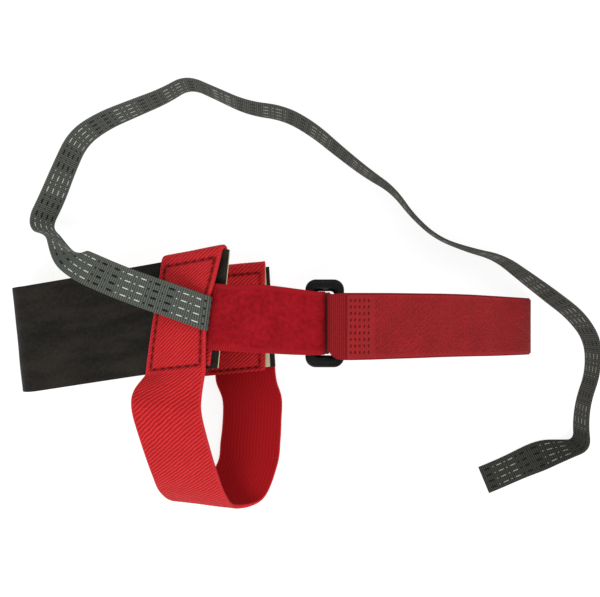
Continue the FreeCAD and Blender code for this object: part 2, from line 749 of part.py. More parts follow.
def resistor_parts(doc, panel):
    level = resistor_height()
    sleeve_end = RESISTOR_U + size("sleeve_length")
    body_start = (RESISTOR_U + sleeve_end - size("resistor_length")) / 2
    lead_start = body_start - 0.02 - size("lead_length")
    body_end = body_start + size("resistor_length")
    made = [
        cylinder(
            doc, "resistor_body", "Dimensions.resistor_radius", "Dimensions.resistor_length",
            panel.place(body_start, RESISTOR_V, level, "u"),
        )
    ]
    leads = {"resistor_rubber_lead": lead_start, "resistor_ribbon_lead": body_end + 0.02}
    for label, u in leads.items():
        place = panel.place(u, RESISTOR_V, level, "u")
        made.append(cylinder(doc, label, "Dimensions.lead_radius", "Dimensions.lead_length", place))
    place = panel.place(RESISTOR_U, RESISTOR_V, level, "u")
    length, bore = "Dimensions.sleeve_length", "Dimensions.resistor_radius + 0.03"
    outside = cylinder(doc, "SleeveOutside", "Dimensions.sleeve_radius", length, place)
    inside = cylinder(doc, "SleeveBore", bore, length, place)
    sleeve = doc.addObject("Part::Cut", "resistor_sleeve")
    sleeve.Label = "resistor_sleeve"
    sleeve.Base, sleeve.Tool = outside, inside
    return [*made, sleeve]


def pocket_liner(doc, panel):
    liner = doc.addObject("Part::Box", "resistor_pocket_liner")
    liner.Label = "resistor_pocket_liner"
    liner.setExpression("Length", "Dimensions.liner_length")
    liner.setExpression("Width", "Dimensions.liner_width")
    liner.setExpression("Height", "Dimensions.liner_thick")
    face = liner_top() - size("liner_thick")
    liner.Placement = panel.place(LINER_RIGHT - size("liner_length"), LINER_LOW_V, face)
    return liner


def ribbon_crimp(doc, panel):
    body = doc.addObject("PartDesign::Body", "CrimpBody")
    body.Label = "ribbon_crimp"
    sketch = new_sketch(body, "CrimpOutline")
    rectangle(sketch, "Dimensions.crimp_length", "Dimensions.crimp_width")
    solid = pad(body, sketch, "CrimpPad", "Dimensions.crimp_height")
    doc.recompute()
    fillet(doc, body, solid, "CrimpEdges", rim_edges(solid.Shape), "Dimensions.stud_edge")
    lead_end = RESISTOR_U + (size("sleeve_length") + size("resistor_length")) / 2 + size("lead_length")
    middle = lead_end + 0.04 + size("crimp_length") / 2
    level = resistor_height() - size("sleeve_radius") + size("crimp_height") / 2
    body.Placement = panel.place(middle, RESISTOR_V, level)
    return body


def contact_stud(doc, panel):
    """A flat-headed stud on the conductive rubber, beside the end of the resistor's lead."""
    body = doc.addObject("PartDesign::Body", "StudBody")
    body.Label = "rubber_contact_stud"
    sketch = new_sketch(body, "StudOutline")
    circle = Part.Circle(Vector(0, 0, 0), Vector(0, 0, 1), 2.0)
    sketch.addGeometry(circle, False)
    sketch.addConstraint(Sketcher.Constraint("Coincident", 0, 3, -1, 1))
    number = sketch.addConstraint(Sketcher.Constraint("Radius", 0, 2.0))
    sketch.renameConstraint(number, "reach")
    sketch.setExpression("Constraints.reach", "Dimensions.stud_radius")
    solid = pad(body, sketch, "StudPad", "Dimensions.stud_height")
    doc.recompute()
    fillet(doc, body, solid, "StudEdges", rim_edges(solid.Shape), "Dimensions.stud_edge")
    body_start = RESISTOR_U + (size("sleeve_length") - size("resistor_length")) / 2
    lead_start = body_start - size("lead_length")
    liner_end = LINER_RIGHT - size("liner_length")
    middle = min(lead_start, liner_end) - size("stud_radius") - 0.1
    face = size("outer_layer") / 2 + size("inner_layer") / 2 + 0.05
    body.Placement = panel.place(middle, RESISTOR_V, face + size("stud_height") / 2)
    return body


def build_pieces(doc):
    panel = Panel()
    webbing, hook = size("webbing_thick"), size("hook_thick")
    outer, inner = size("outer_layer"), size("inner_layer")
    seam = (inner - outer) / 2
    hook_low = webbing / 2 + 0.1
    shapes = {
        "rubber_outer_layer": rubber_layer(panel, seam, (outer + inner) / 2, (-1.0, 1.4)),
        "rubber_inner_layer": rubber_layer(panel, -(outer + inner) / 2, seam, (-2.6, -2.4)),
        "heel_elastic": heel_elastic(panel),
        "loop_strap": loop_strap(panel),
        "far_strap": strap(FAR_STRAP_PATH, size("strap_width") - 0.7, -webbing / 2, webbing / 2),
        "hook_flap_base": strap(FLAP_PATH, size("strap_width") + 0.5, -webbing / 2, webbing / 2),
        "hook_tape": strap(
            hook_tape_middle(), size("strap_width") - 0.8, hook_low, hook_low + hook
        ),
        "ribbon_pocket_end": ribbon_pocket_end(panel),
        "grounding_ribbon": grounding_ribbon(panel),
        "near_panel_stitching": near_panel_stitching(panel),
        "far_panel_stitching": far_panel_stitching(),
        "loop_strap_seam_stitching": loop_strap_seam_stitching(panel),
        "loop_strap_ring_tack": loop_strap_ring_tack(),
        "far_strap_seam_stitching": far_strap_seam_stitching(),
        "hook_tape_stitching": hook_tape_stitching(),
    }
    pieces = [add_shape(doc, label, shape) for label, shape in shapes.items()]
    pieces.append(rectangular_ring(doc))
    pieces += resistor_parts(doc, panel)
    pieces += [pocket_liner(doc, panel), ribbon_crimp(doc, panel), contact_stud(doc, panel)]
    return pieces


def check(doc, pieces):
    for thing in doc.Objects:
        if "Invalid" in thing.State or "Error" in thing.State:
            raise RuntimeError(f"{thing.Label} failed: {thing.State}")
    for piece in pieces:
        if piece.Shape.isNull() or not piece.Shape.isValid() or piece.Shape.Volume <= 0:
            raise RuntimeError(f"{piece.Label} has no valid solid")


def report(pieces):
    whole = FreeCAD.BoundBox()
    for piece in pieces:
        box = piece.Shape.BoundBox
        solids, volume = len(piece.Shape.Solids), piece.Shape.Volume
        print(f"{piece.Label}: {solids} solids, {volume:.0f} mm3, z from {box.ZMin:.2f}")
        if piece.Label != "grounding_ribbon":
            whole.add(box)
    middle = whole.Center
    print(f"without the ribbon: centre {middle.x:.2f}, {middle.y:.2f}, base {whole.ZMin:.3f}")
    print(f"size {whole.XLength:.1f} x {whole.YLength:.1f} x {whole.ZLength:.1f} mm")


def main():
    doc = FreeCAD.newDocument("HeelGroundingStrap")
    BUILD["sheet"] = make_sheet(doc)
    pieces = build_pieces(doc)
    doc.recompute()
    check(doc, pieces)
    report(pieces)
    os.makedirs("parts", exist_ok=True)
    for piece in pieces:
        piece.Shape.exportStep(f"parts/{piece.Label}.step")


main()
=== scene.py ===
import math

import bpy
import numpy as np
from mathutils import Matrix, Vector


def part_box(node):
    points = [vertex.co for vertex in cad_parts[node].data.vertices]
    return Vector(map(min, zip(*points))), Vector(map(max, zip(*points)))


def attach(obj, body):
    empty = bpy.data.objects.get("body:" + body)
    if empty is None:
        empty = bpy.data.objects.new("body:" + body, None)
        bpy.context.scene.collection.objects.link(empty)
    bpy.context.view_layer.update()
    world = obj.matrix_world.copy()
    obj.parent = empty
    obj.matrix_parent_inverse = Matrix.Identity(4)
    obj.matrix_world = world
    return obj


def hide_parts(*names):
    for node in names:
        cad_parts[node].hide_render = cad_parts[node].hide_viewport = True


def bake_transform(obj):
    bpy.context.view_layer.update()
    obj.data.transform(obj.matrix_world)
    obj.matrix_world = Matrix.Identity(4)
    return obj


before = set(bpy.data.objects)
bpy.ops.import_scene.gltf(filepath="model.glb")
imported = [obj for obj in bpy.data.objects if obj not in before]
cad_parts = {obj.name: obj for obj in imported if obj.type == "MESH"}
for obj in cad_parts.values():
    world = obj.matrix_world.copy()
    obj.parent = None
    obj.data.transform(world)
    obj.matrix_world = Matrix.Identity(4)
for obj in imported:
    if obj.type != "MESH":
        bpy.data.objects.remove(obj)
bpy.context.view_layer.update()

# The looks of a heel grounding strap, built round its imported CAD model. Lengths are millimetres
# of the part's layout until to_metres() turns them into the frame's metres.

MM = 0.001
UP = np.array((0, 0, 1))
RING_MIDDLE = (9.55, -9.6, 40.6)  # the ring's centre in the layout
SHIFT = np.mean(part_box("rectangular_ring"), axis=0) / MM - RING_MIDDLE


def to_metres(points):
    """Layout points, in millimetres, as points of the frame."""
    return (np.asarray(points, float) + SHIFT) * MM


def unit(vectors):
    vectors = np.asarray(vectors, float)
    return vectors / np.linalg.norm(vectors, axis=-1, keepdims=True)


def srgb(red, green, blue):
    """A display colour, 0 to 255 a channel, as a linear one."""
    shares = [c / 255 for c in (red, green, blue)]
    return (*[s / 12.92 if s < 0.04 else ((s + 0.055) / 1.055) ** 2.4 for s in shares], 1.0)


def add_object(name, data):
    thing = bpy.data.objects.new(name, data)
    bpy.context.scene.collection.objects.link(thing)
    return thing


# ---- stage

CAMERA_HEIGHT = 273.0  # straight above the layout's origin
LENS = 36.0  # as wide as the sensor
FLOOR_HALF, FLOOR_DROP = 3.0, 0.0002  # metres
FLOOR_GLOW, ROOM_LIGHT = 0.82, 0.72
LAMPS = {  # place and size in metres, and power in watts
    "key_lamp": ((-0.25, -0.75, 0.95), 0.7, 9.0),
    "fill_lamp": ((0.7, 0.5, 1.0), 0.9, 4.0),
}


def make_stage():
    scene = bpy.context.scene
    scene.view_settings.view_transform = "Standard"
    camera = add_object("camera", bpy.data.cameras.new("camera"))
    camera.location = to_metres((0, 0, CAMERA_HEIGHT))
    camera.data.lens = camera.data.sensor_width = LENS
    camera.data.clip_start = 0.01
    scene.camera = camera

    mesh = bpy.data.meshes.new("floor")
    corners = [(x * FLOOR_HALF, y * FLOOR_HALF, 0) for x, y in ((-1, -1), (1, -1), (1, 1), (-1, 1))]
    mesh.from_pydata(corners, [], [(0, 1, 2, 3)])
    floor = add_object("floor", mesh)
    floor.location.z = -FLOOR_DROP
    glow = {"Emission_Color": (1, 1, 1, 1), "Emission_Strength": FLOOR_GLOW}
    paint = Paint("floor_paint", 0.9, **glow)
    mottle = paint.noise(paint.place(), 40)
    grey = paint.mix(mottle, srgb(132, 132, 132), srgb(140, 140, 140))
    paint.put(paint.shader.inputs["Base Color"], grey)
    floor.data.materials.append(paint.material)

    world = bpy.data.worlds.new("soft_room")
    scene.world = world
    world.use_nodes = True
    background = world.node_tree.nodes["Background"]
    background.inputs["Color"].default_value = (1, 1, 1, 1)
    background.inputs["Strength"].default_value = ROOM_LIGHT
    for name, (place, size, power) in LAMPS.items():
        light = bpy.data.lights.new(name, "AREA")
        light.size, light.energy = size, power
        lamp = add_object(name, light)
        lamp.location = place
        lamp.rotation_mode = "QUATERNION"
        lamp.rotation_quaternion = Vector(-unit(place)).to_track_quat("-Z", "Y")


# ---- materials


class Paint:
    """A node material. Most of its methods add nodes and return their socket."""

    def __init__(self, name, roughness, **settings):
        self.material = bpy.data.materials.new(name)
        self.material.use_nodes = True
        self.tree = self.material.node_tree
        self.shader = self.tree.nodes["Principled BSDF"]
        self.shader.inputs["Roughness"].default_value = roughness
        for key, value in settings.items():
            self.shader.inputs[key.replace("_", " ")].default_value = value

    def put(self, socket, value):
        if isinstance(value, bpy.types.NodeSocket):
            self.tree.links.new(value, socket)
        else:
            socket.default_value = value

    def add(self, kind, *values, **settings):
        """A node with these settings, and these values or sockets as its first inputs."""
        node = self.tree.nodes.new(kind)
        for key, value in settings.items():
            setattr(node, key, value)
        for socket, value in zip(node.inputs, values):
            self.put(socket, value)
        return node

    def math(self, operation, *values):
        return self.add("ShaderNodeMath", *values, operation=operation).outputs[0]

    def times(self, value, factor, plus=0.0):
        """value * factor + plus."""
        return self.math("MULTIPLY_ADD", value, factor, plus)

    def wave(self, value, pitch):
        """From 0 to 1 and back with each pitch, 1 at value = 0."""
        turns = self.times(value, math.tau / pitch)
        return self.times(self.math("COSINE", turns), 0.5, 0.5)

    def step(self, value, low, high):
        """From 0 at low to 1 at high."""
        node = self.add("ShaderNodeMapRange", value, low, high, interpolation_type="SMOOTHSTEP")
        return node.outputs[0]

    def inside(self, across, width, start, end):
        """0 at a band's edges and 1 between them, rising from start to end millimetres inwards."""
        from_left = self.step(across, start, end)
        return self.math("MINIMUM", from_left, self.step(across, width - start, width - end))

    def cloth(self):
        """Millimetres along and across the band, and both as one vector."""
        spot = self.add("ShaderNodeUVMap", uv_map="cloth").outputs[0]
        split = self.add("ShaderNodeSeparateXYZ", spot)
        return split.outputs[0], split.outputs[1], spot

    def place(self):
        """The point's place, in metres."""
        return self.add("ShaderNodeTexCoord").outputs["Object"]

    def noise(self, vector, scale, detail=2.0, roughness=0.5):
        node = self.add("ShaderNodeTexNoise", vector)
        for name, value in ("Scale", scale), ("Detail", detail), ("Roughness", roughness):
            node.inputs[name].default_value = value
        return node.outputs["Fac"]

    def mix(self, share, low, high):
        node = self.add("ShaderNodeMix", share, data_type="RGBA")
        self.put(node.inputs[6], low)
        self.put(node.inputs[7], high)
        return node.outputs[2]

    def finish(self, colour, height, depth):
        """The material, of this colour and raised by depth millimetres where height is 1."""
        self.put(self.shader.inputs["Base Color"], colour)
        node = self.add("ShaderNodeBump")
        node.inputs["Distance"].default_value = depth * MM
        self.put(node.inputs["Height"], height)
        self.put(self.shader.inputs["Normal"], node.outputs[0])
        return self.material


TWILL_PITCH, TWILL_SLANT = 1.6, 0.78  # along the band, and how far a rib climbs per mm across
TWILL_YARN, YARN_SLANT = 0.95, 1.3
SELVEDGE, SELVEDGE_RIB = 1.1, 0.6
SEAM_SHADE = srgb(92, 8, 14)


def twill_material(name, width, dark, light, edge):
    """Twill with diagonal ribs of small floats, and plain edges, with painted shade in its grooves and
    painted light on its rib tops.
    """
    paint = Paint(name, 0.8, Sheen_Weight=0.03, Sheen_Roughness=0.5, Specular_IOR_Level=0.08)
    along, across, spot = paint.cloth()
    grain = paint.noise(spot, 1.6, 3.0, 0.6)
    blotch = paint.noise(spot, 0.12)
    slanted = paint.times(across, -TWILL_SLANT, along)
    wobble = paint.times(paint.noise(spot, 0.4), 1.2, -0.6)
    rib = paint.wave(paint.math("ADD", slanted, wobble), TWILL_PITCH)
    yarn = paint.wave(paint.times(across, YARN_SLANT, along), TWILL_YARN)
    raised = paint.times(rib, paint.times(yarn, 0.42, 0.5))
    height = paint.times(grain, 0.34, raised)
    shade = paint.times(blotch, 0.3, paint.math("ADD", height, -0.26))
    # Lighter on the rib tops and darker in the grooves: painted light and shade. The grain and blotch
    # noise are the cloth's own tone.
    cloth = paint.mix(paint.step(shade, 0.1, 0.95), dark, light)
    selvedge = paint.mix(paint.wave(along, SELVEDGE_RIB), edge, light)
    cloth = paint.mix(paint.inside(across, width, 0.0, SELVEDGE), selvedge, cloth)
    # Painted shade along the sewn lines: the deeper the cloth is drawn in, the darker it is.
    sewn = paint.add("ShaderNodeAttribute", attribute_name="sewn").outputs["Fac"]
    cloth = paint.mix(paint.times(sewn, 0.7), cloth, SEAM_SHADE)
    return paint.finish(cloth, height, 0.14)


WALE_PITCH, WALE_CROSS_PITCH, WALE_RELIEF_PITCH = 1.45, 0.7, 1.5


def wale_material(name, dark, light):
    """The elastic's inner face: fine lines along its length."""
    paint = Paint(name, 0.85, Sheen_Weight=0.02, Specular_IOR_Level=0.06)
    along, across, spot = paint.cloth()
    grain = paint.noise(spot, 1.4, 3.0)
    cross = paint.times(paint.wave(along, WALE_CROSS_PITCH), 0.25)
    height = paint.times(paint.wave(across, WALE_PITCH), 0.5, cross)
    # The colour follows the relief: painted shade between the fine lines. The grain noise is the
    # cloth's own tone.
    shade = paint.times(grain, 0.5, paint.times(height, 0.6))
    return paint.finish(paint.mix(paint.step(shade, 0.1, 0.85), dark, light), height, 0.12)


VELVET_EDGE, VELVET_RIB = (1.5, 2.1), 0.8


def velvet_material(width):
    """Short brushed loops with fine-ribbed edges."""
    paint = Paint(
        "velvet_cloth", 0.95, Sheen_Weight=0.25, Sheen_Roughness=0.45,
        Sheen_Tint=srgb(255, 90, 90), Specular_IOR_Level=0.04,
    )
    along, across, spot = paint.cloth()
    pile = paint.noise(spot, 2.4, 4.0, 0.7)
    tuft = paint.noise(spot, 0.55, 3.0, 0.6)
    brushed = paint.noise(spot, 0.1)
    shade = paint.times(pile, 0.4, paint.times(tuft, 0.45))
    shade = paint.times(brushed, 0.3, shade)
    cloth = paint.mix(paint.step(shade, 0.3, 0.85), srgb(104, 9, 16), srgb(165, 25, 35))
    rib = paint.wave(along, VELVET_RIB)
    edge = paint.mix(rib, srgb(136, 18, 26), srgb(152, 27, 34))
    cloth = paint.mix(paint.inside(across, width, *VELVET_EDGE), edge, cloth)
    return paint.finish(cloth, paint.times(pile, 0.6, paint.times(rib, 0.3)), 0.22)


WEBBING_RIB, WEBBING_PICK, HOOK_TAPE_PICK = 0.77, 0.62, 0.7


def webbing_material(name, dark, light):
    """Plain woven tape with fine ribs across it."""
    paint = Paint(name, 0.8, Sheen_Weight=0.02, Specular_IOR_Level=0.08)
    along, across, spot = paint.cloth()
    grain = paint.noise(spot, 1.8, 3.0)
    pick = paint.times(paint.wave(across, WEBBING_PICK), 0.3)
    height = paint.times(paint.wave(along, WEBBING_RIB), 0.6, pick)
    # The colour follows the ribs: painted shade between them. The grain noise is the cloth's own tone.
    shade = paint.times(grain, 0.6, paint.times(height, 0.5))
    return paint.finish(paint.mix(paint.step(shade, 0.2, 0.95), dark, light), height, 0.1)


def hook_material():
    """Nylon hook tape: one material for the woven ground and its hooks."""
    paint = Paint("hook_nylon", 0.6, Sheen_Weight=0.03, Specular_IOR_Level=0.12)
    along, across, spot = paint.cloth()
    grain = paint.noise(spot, 1.1, 4.0, 0.7)
    patch = paint.noise(spot, 0.08)
    shade = paint.times(grain, 0.7, paint.times(patch, 0.4))
    nylon = paint.mix(paint.step(shade, 0.3, 0.85), srgb(128, 22, 26), srgb(158, 30, 34))
    weave = paint.times(paint.wave(along, WEBBING_RIB), 0.6)
    weave = paint.times(paint.wave(across, HOOK_TAPE_PICK), 0.4, weave)
    return paint.finish(nylon, weave, 0.1)


def rubber_material(name, dark, light, roughness):
    """Calendered rubber: faint grain, dust and long soft creases."""
    paint = Paint(name, roughness, Specular_IOR_Level=0.1)
    along, across, spot = paint.cloth()
    grain = paint.noise(spot, 3.2, 3.0, 0.6)
    drawn_out = paint.add("ShaderNodeCombineXYZ", paint.times(along, 0.25), across)
    crease = paint.noise(drawn_out.outputs[0], 0.16, 3.0)
    dust = paint.noise(spot, 0.6, 5.0, 0.75)
    shade = paint.times(crease, 0.5, paint.times(dust, 0.5))
    height = paint.times(grain, 0.3, paint.times(crease, 0.7))
    return paint.finish(paint.mix(paint.step(shade, 0.3, 0.75), dark, light), height, 0.18)


RIBBON_WIDTH, RIBBON_THICK, RIBBON_RIB = 12.7, 0.9, 0.9
YARN_REPEAT, YARN_CELL, YARN_ROWS = 23.4, 5.85, 2.8
YARN_LONG, YARN_SHORT, YARN_SOFT = (0.6, 3.2), (4.5, 5.3), 0.25
USED_ROWS = 1.6  # rows further than this from the ribbon's middle carry no yarns
WHITE_HALF_WIDTH, BLACK_HALF_WIDTH = 0.12, 0.34
# Painted shade darkens the ribbon's grey out from the panel, and more at its tip.
RIBBON_SHADE_RAMP, RIBBON_TIP_SHADE = (60.0, 330.0), (430.0, 480.0)  # stretches where its grey changes
# Low and high greys: on the panel, in painted shade further out, and in deeper painted shade at the
# tip.
RIBBON_LIT_AND_SHADED_GREYS = [((52, 56, 51), (38, 38, 35), (26, 26, 24)), ((95, 99, 92), (74, 73, 68), (62, 62, 57))]


def ribbon_material():
    """Grey ribbed ribbon with four rows of white and black floating yarns, with painted shade between
    its ribs, further from the panel and at its tip.
    """
    paint = Paint("ribbon_weave", 0.75, Sheen_Weight=0.03, Specular_IOR_Level=0.1)
    along, across, spot = paint.cloth()
    grain = paint.noise(spot, 1.7, 3.0, 0.6)
    rib = paint.wave(along, RIBBON_RIB)
    warp = paint.wave(across, YARN_ROWS / 3)
    height = paint.times(rib, 0.62, paint.times(warp, 0.2))
    height = paint.times(grain, 0.3, height)
    # far and tip: how much painted shade darkens the ribbon along its length.
    far, tip = paint.step(along, *RIBBON_SHADE_RAMP), paint.step(along, *RIBBON_TIP_SHADE)
    low, high = (
        paint.mix(tip, paint.mix(far, srgb(*near), srgb(*shaded_grey)), srgb(*end))
        for near, shaded_grey, end in RIBBON_LIT_AND_SHADED_GREYS
    )
    # Darker between the ribs: painted shade that follows the relief.
    cloth = paint.mix(paint.step(height, 0.2, 0.95), low, high)
    row = paint.times(across, 1 / YARN_ROWS, -RIBBON_WIDTH / 2 / YARN_ROWS - 0.5)
    nearest = paint.math("ROUND", row)
    off_row = paint.math("ABSOLUTE", paint.math("SUBTRACT", row, nearest))
    repeat = paint.math("FLOORED_MODULO", along, YARN_REPEAT)
    second_half = paint.math("GREATER_THAN", repeat, YARN_REPEAT / 2)
    gain = (BLACK_HALF_WIDTH - WHITE_HALF_WIDTH) / YARN_ROWS
    reach = paint.times(second_half, gain, WHITE_HALF_WIDTH / YARN_ROWS)
    on_row = paint.step(paint.math("SUBTRACT", off_row, reach), 0.04, 0.0)
    outermost = paint.math("ABSOLUTE", paint.math("ADD", nearest, 0.5))
    used_row = paint.math("LESS_THAN", outermost, USED_ROWS)
    cell = paint.math("FLOORED_MODULO", along, YARN_CELL)
    dashes = None
    for start, end in (YARN_LONG, YARN_SHORT):
        rising = paint.step(cell, start, start + YARN_SOFT)
        dash = paint.times(rising, paint.step(cell, end, end - YARN_SOFT))
        dashes = dash if dashes is None else paint.math("MAXIMUM", dashes, dash)
    shown = paint.times(dashes, paint.times(on_row, used_row))
    # The white yarns take the same painted shade further out.
    white = paint.mix(far, srgb(205, 206, 198), srgb(150, 149, 141))
    yarn = paint.mix(second_half, white, srgb(20, 21, 20))
    return paint.finish(paint.mix(shown, cloth, yarn), paint.times(shown, 0.8, height), 0.12)


def thread_material(name, colour):
    paint = Paint(name, 0.7, Sheen_Weight=0.02, Specular_IOR_Level=0.1)
    twist = paint.noise(paint.place(), 2600)
    dark = (*(channel * 0.6 for channel in colour[:3]), 1.0)
    return paint.finish(paint.mix(twist, dark, colour), twist, 0.08)


def plastic_material():
    """Moulded black plastic with a faint satin texture, and random patches a little lighter and
    glossier.
    """
    paint = Paint("ring_plastic", 0.32, Specular_IOR_Level=0.16)
    fine = paint.noise(paint.place(), 4200)
    lighter_patches = paint.noise(paint.place(), 260, 4.0, 0.7)
    # Random patches a little lighter and glossier than the rest.
    black = paint.mix(paint.step(lighter_patches, 0.45, 0.8), srgb(2, 2, 2), srgb(8, 8, 7))
    paint.put(paint.shader.inputs["Roughness"], paint.times(lighter_patches, 0.25, 0.2))
    return paint.finish(black, fine, 0.03)


def hard_material(name, colour, worn, roughness, metallic=0.0):
    paint = Paint(name, roughness, Metallic=metallic)
    spots = paint.noise(paint.place(), 900, 4.0, 0.7)
    return paint.finish(paint.mix(paint.step(spots, 0.35, 0.7), colour, worn), spots, 0.03)


# ---- bands


def distances(points):
    """How far along a polyline each of its points is."""
    return np.concatenate([[0], np.cumsum(np.linalg.norm(np.diff(points, axis=0), axis=1))])


def points_at(places, reach, points):
    """The points of a polyline at the given distances along it."""
    return np.stack([np.interp(places, reach, points[:, k]) for k in range(3)], 1)


def soften(points, passes):
    points = points.copy()
    for _ in range(passes):
        points[1:-1] = (points[:-2] + 2 * points[1:-1] + points[2:]) / 4
    return points


def smooth(points, steps):
    """Points on a Catmull-Rom curve through the given ones."""
    points = np.asarray(points, float)
    around = np.vstack([2 * points[0] - points[1], points, 2 * points[-1] - points[-2]])
    t = np.arange(steps)[:, None] / steps
    found = []
    for p, q, r, w in zip(around, around[1:], around[2:], around[3:]):
        curve = 2 * q + (r - p) * t + (2 * p - 5 * q + 4 * r - w) * t**2
        found.append((curve + (3 * q - p - 3 * r + w) * t**3) / 2)
    return np.vstack([*found, points[-1:]])


class Band:
    """A strip of cloth or rubber between two rails, sampled evenly along its length."""

    def __init__(self, rail_a, rail_b, step, passes):
        rails = np.array([rail_a, rail_b], float)
        reach = distances(rails.mean(axis=0))
        even = np.linspace(0, reach[-1], max(2, round(reach[-1] / step) + 1))
        self.a, self.b = (soften(points_at(even, reach, rail), passes) for rail in rails)
        middle, across = (self.a + self.b) / 2, self.a - self.b
        self.along = distances(middle)
        self.width = float(np.median(np.linalg.norm(across, axis=1)))
        self.normal = unit(np.cross(np.gradient(middle, axis=0), across))

    def points(self, along, across, height):
        """Points of the band, across millimetres from rail a and height above its middle."""
        a, b, normal = (
            points_at(along, self.along, line) for line in (self.a, self.b, self.normal)
        )
        share = across[:, None] / self.width
        return a * (1 - share) + b * share + unit(normal) * height[:, None]


def section(width, low, high, edge, top_columns, under_columns):
    """A band's rounded section: distance across, height and face, 1 on top and -1 under."""
    turn = np.radians(np.linspace(0, 90, 4))
    out, up = edge * np.sin(turn), edge * np.cos(turn)
    top = np.linspace(edge, width - edge, top_columns + 1)
    under = np.linspace(width - edge, edge, under_columns + 1)
    parts = [
        (top, np.full_like(top, high), 1),
        (width - edge + out[1:], high - edge + up[1:], 0),
        (width - edge + out[::-1][:-1], low + edge - up[::-1][:-1], 0),
        (under, np.full_like(under, low), -1),
        (edge - out[1:], low + edge - up[1:], 0),
        (edge - out[::-1][:-1], high - edge + up[::-1][:-1], 0),
    ]
    across, height, face = zip(*parts)
    face = [np.full(len(places), kind) for places, kind in zip(across, face)]
    return np.concatenate(across), np.concatenate(height), np.concatenate(face)


def add_piece(name, mesh, body, nodes=()):
    """A piece that rides on the body, if one is given, and stands for the nodes."""
    piece = add_object(name, mesh)
    if body:
        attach(piece, body)
    if nodes:
        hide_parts(*nodes)
    return piece


def make_mesh(name, points, faces, cloth, materials, face_material=None):
    """A smooth mesh of layout points, with its distances along and across as a UV map."""
    mesh = bpy.data.meshes.new(name)
    mesh.from_pydata(to_metres(points).tolist(), [], faces)
    mesh.shade_smooth()
    if cloth is not None:
        corners = np.empty(len(mesh.loops), np.int32)
        mesh.loops.foreach_get("vertex_index", corners)
        mesh.uv_layers.new(name="cloth").data.foreach_set("uv", cloth[corners].ravel())
    for material in materials:
        mesh.materials.append(material)
    if face_material is not None:
        mesh.polygons.foreach_set("material_index", face_material)
    mesh.update()
    return mesh


def quads_round(grid):
    """The faces between rows of point numbers, where each row is a closed line."""
    after = np.roll(grid, -1, axis=1)
    return np.stack([grid[:-1], after[:-1], after[1:], grid[1:]], -1).reshape(-1, 4).tolist()


def tube_faces(first, rings, sides):
    """The faces of a closed tube whose points start at first and go ring after ring."""
    grid = first + np.arange(rings * sides).reshape(rings, sides)
    return quads_round(grid) + [grid[0, ::-1].tolist(), grid[-1].tolist()]


def band_mesh(name, band, low, high, materials, edge, columns, top, under=None, grooves=(),
              along_from=0.0):
    """A band's solid. top and under give each face's relief, and grooves are sewn lines."""
    across, height, face = section(band.width, low, high, edge, *columns)
    rows, count = len(band.along), len(across)
    along = np.repeat(band.along[:, None], count, 1)
    place = np.repeat(across[None, :], rows, 0)
    heights = np.repeat(height[None, :], rows, 0)
    from_edge = np.clip(np.minimum(across, band.width - across) / edge - 1, 0, 1)
    for relief, side in ((top, 1), (under, -1)):
        if relief is not None:
            heights = heights + side * (face == side) * from_edge * relief(along, place)
    share = place[..., None] / band.width
    rails = band.a[:, None] * (1 - share) + band.b[:, None] * share
    drawn = np.zeros_like(heights)
    if grooves:
        surface = rails + band.normal[:, None] * heights[..., None]
        drawn = (face == 1) * sunk(surface, grooves)
        heights = heights - drawn
    points = rails + band.normal[:, None] * heights[..., None]
    faces = tube_faces(0, rows, count)
    kind = np.zeros(len(faces), np.int32)
    if len(materials) > 1:
        below = (face == -1) & (np.roll(face, -1) == -1)
        kind[:-2] = np.tile(below, rows - 1)
    cloth = np.stack([along + along_from, place], -1).reshape(-1, 2)
    mesh = make_mesh(name, points.reshape(-1, 3), faces, cloth, materials, kind)
    # The depth of the sewn grooves, which the twill turns into painted shade.
    sewn = mesh.attributes.new("sewn", "FLOAT", "POINT")
    sewn.data.foreach_set("value", (drawn / GROOVE_DEPTH).ravel())
    return mesh


GROOVE_DEPTH, GROOVE_WIDTH = 0.45, 0.6


def sunk(points, lines):
    """How far cloth is drawn in beside sewn lines, each a start and an end."""
    depth = np.zeros(points.shape[:-1])
    for start, end in lines:
        start, way = np.array(start), np.subtract(end, start)
        share = np.clip((points - start) @ way / (way @ way), 0, 1)
        gap = np.linalg.norm(points - start - share[..., None] * way, axis=-1)
        depth = np.maximum(depth, GROOVE_DEPTH * np.exp(-((gap / GROOVE_WIDTH) ** 2)))
    return depth


def ribs(pitch, height):
    """A relief of even ribs across a band."""
    return lambda along, across: height * np.cos(math.tau * along / pitch)


def speckle(rows, columns, passes, seed):
    """Smooth random heights, about -1 to 1."""
    grid = np.random.default_rng(seed).normal(size=(rows, columns))
    for _ in range(passes):
        grid = (grid + np.roll(grid, 1, 0) + np.roll(grid, -1, 0)) / 3
        grid = (grid + np.roll(grid, 1, 1) + np.roll(grid, -1, 1)) / 3
    return grid / np.abs(grid).max()


def ripple(along, across, length, height, seed):
    """Slow uneven waves in a band's face."""
    turns = np.random.default_rng(seed).uniform(0, math.tau, 4)
    wave = np.sin(math.tau * along / length + turns[0] + 0.11 * across)
    wave = wave + 0.7 * np.sin(math.tau * along / (0.43 * length) + turns[1] - 0.2 * across)
    return height * (wave + 0.6 * np.sin(0.35 * across + turns[2] + along / length))


# ---- sizes of the rubber and the elastic, and the upper panel's frame

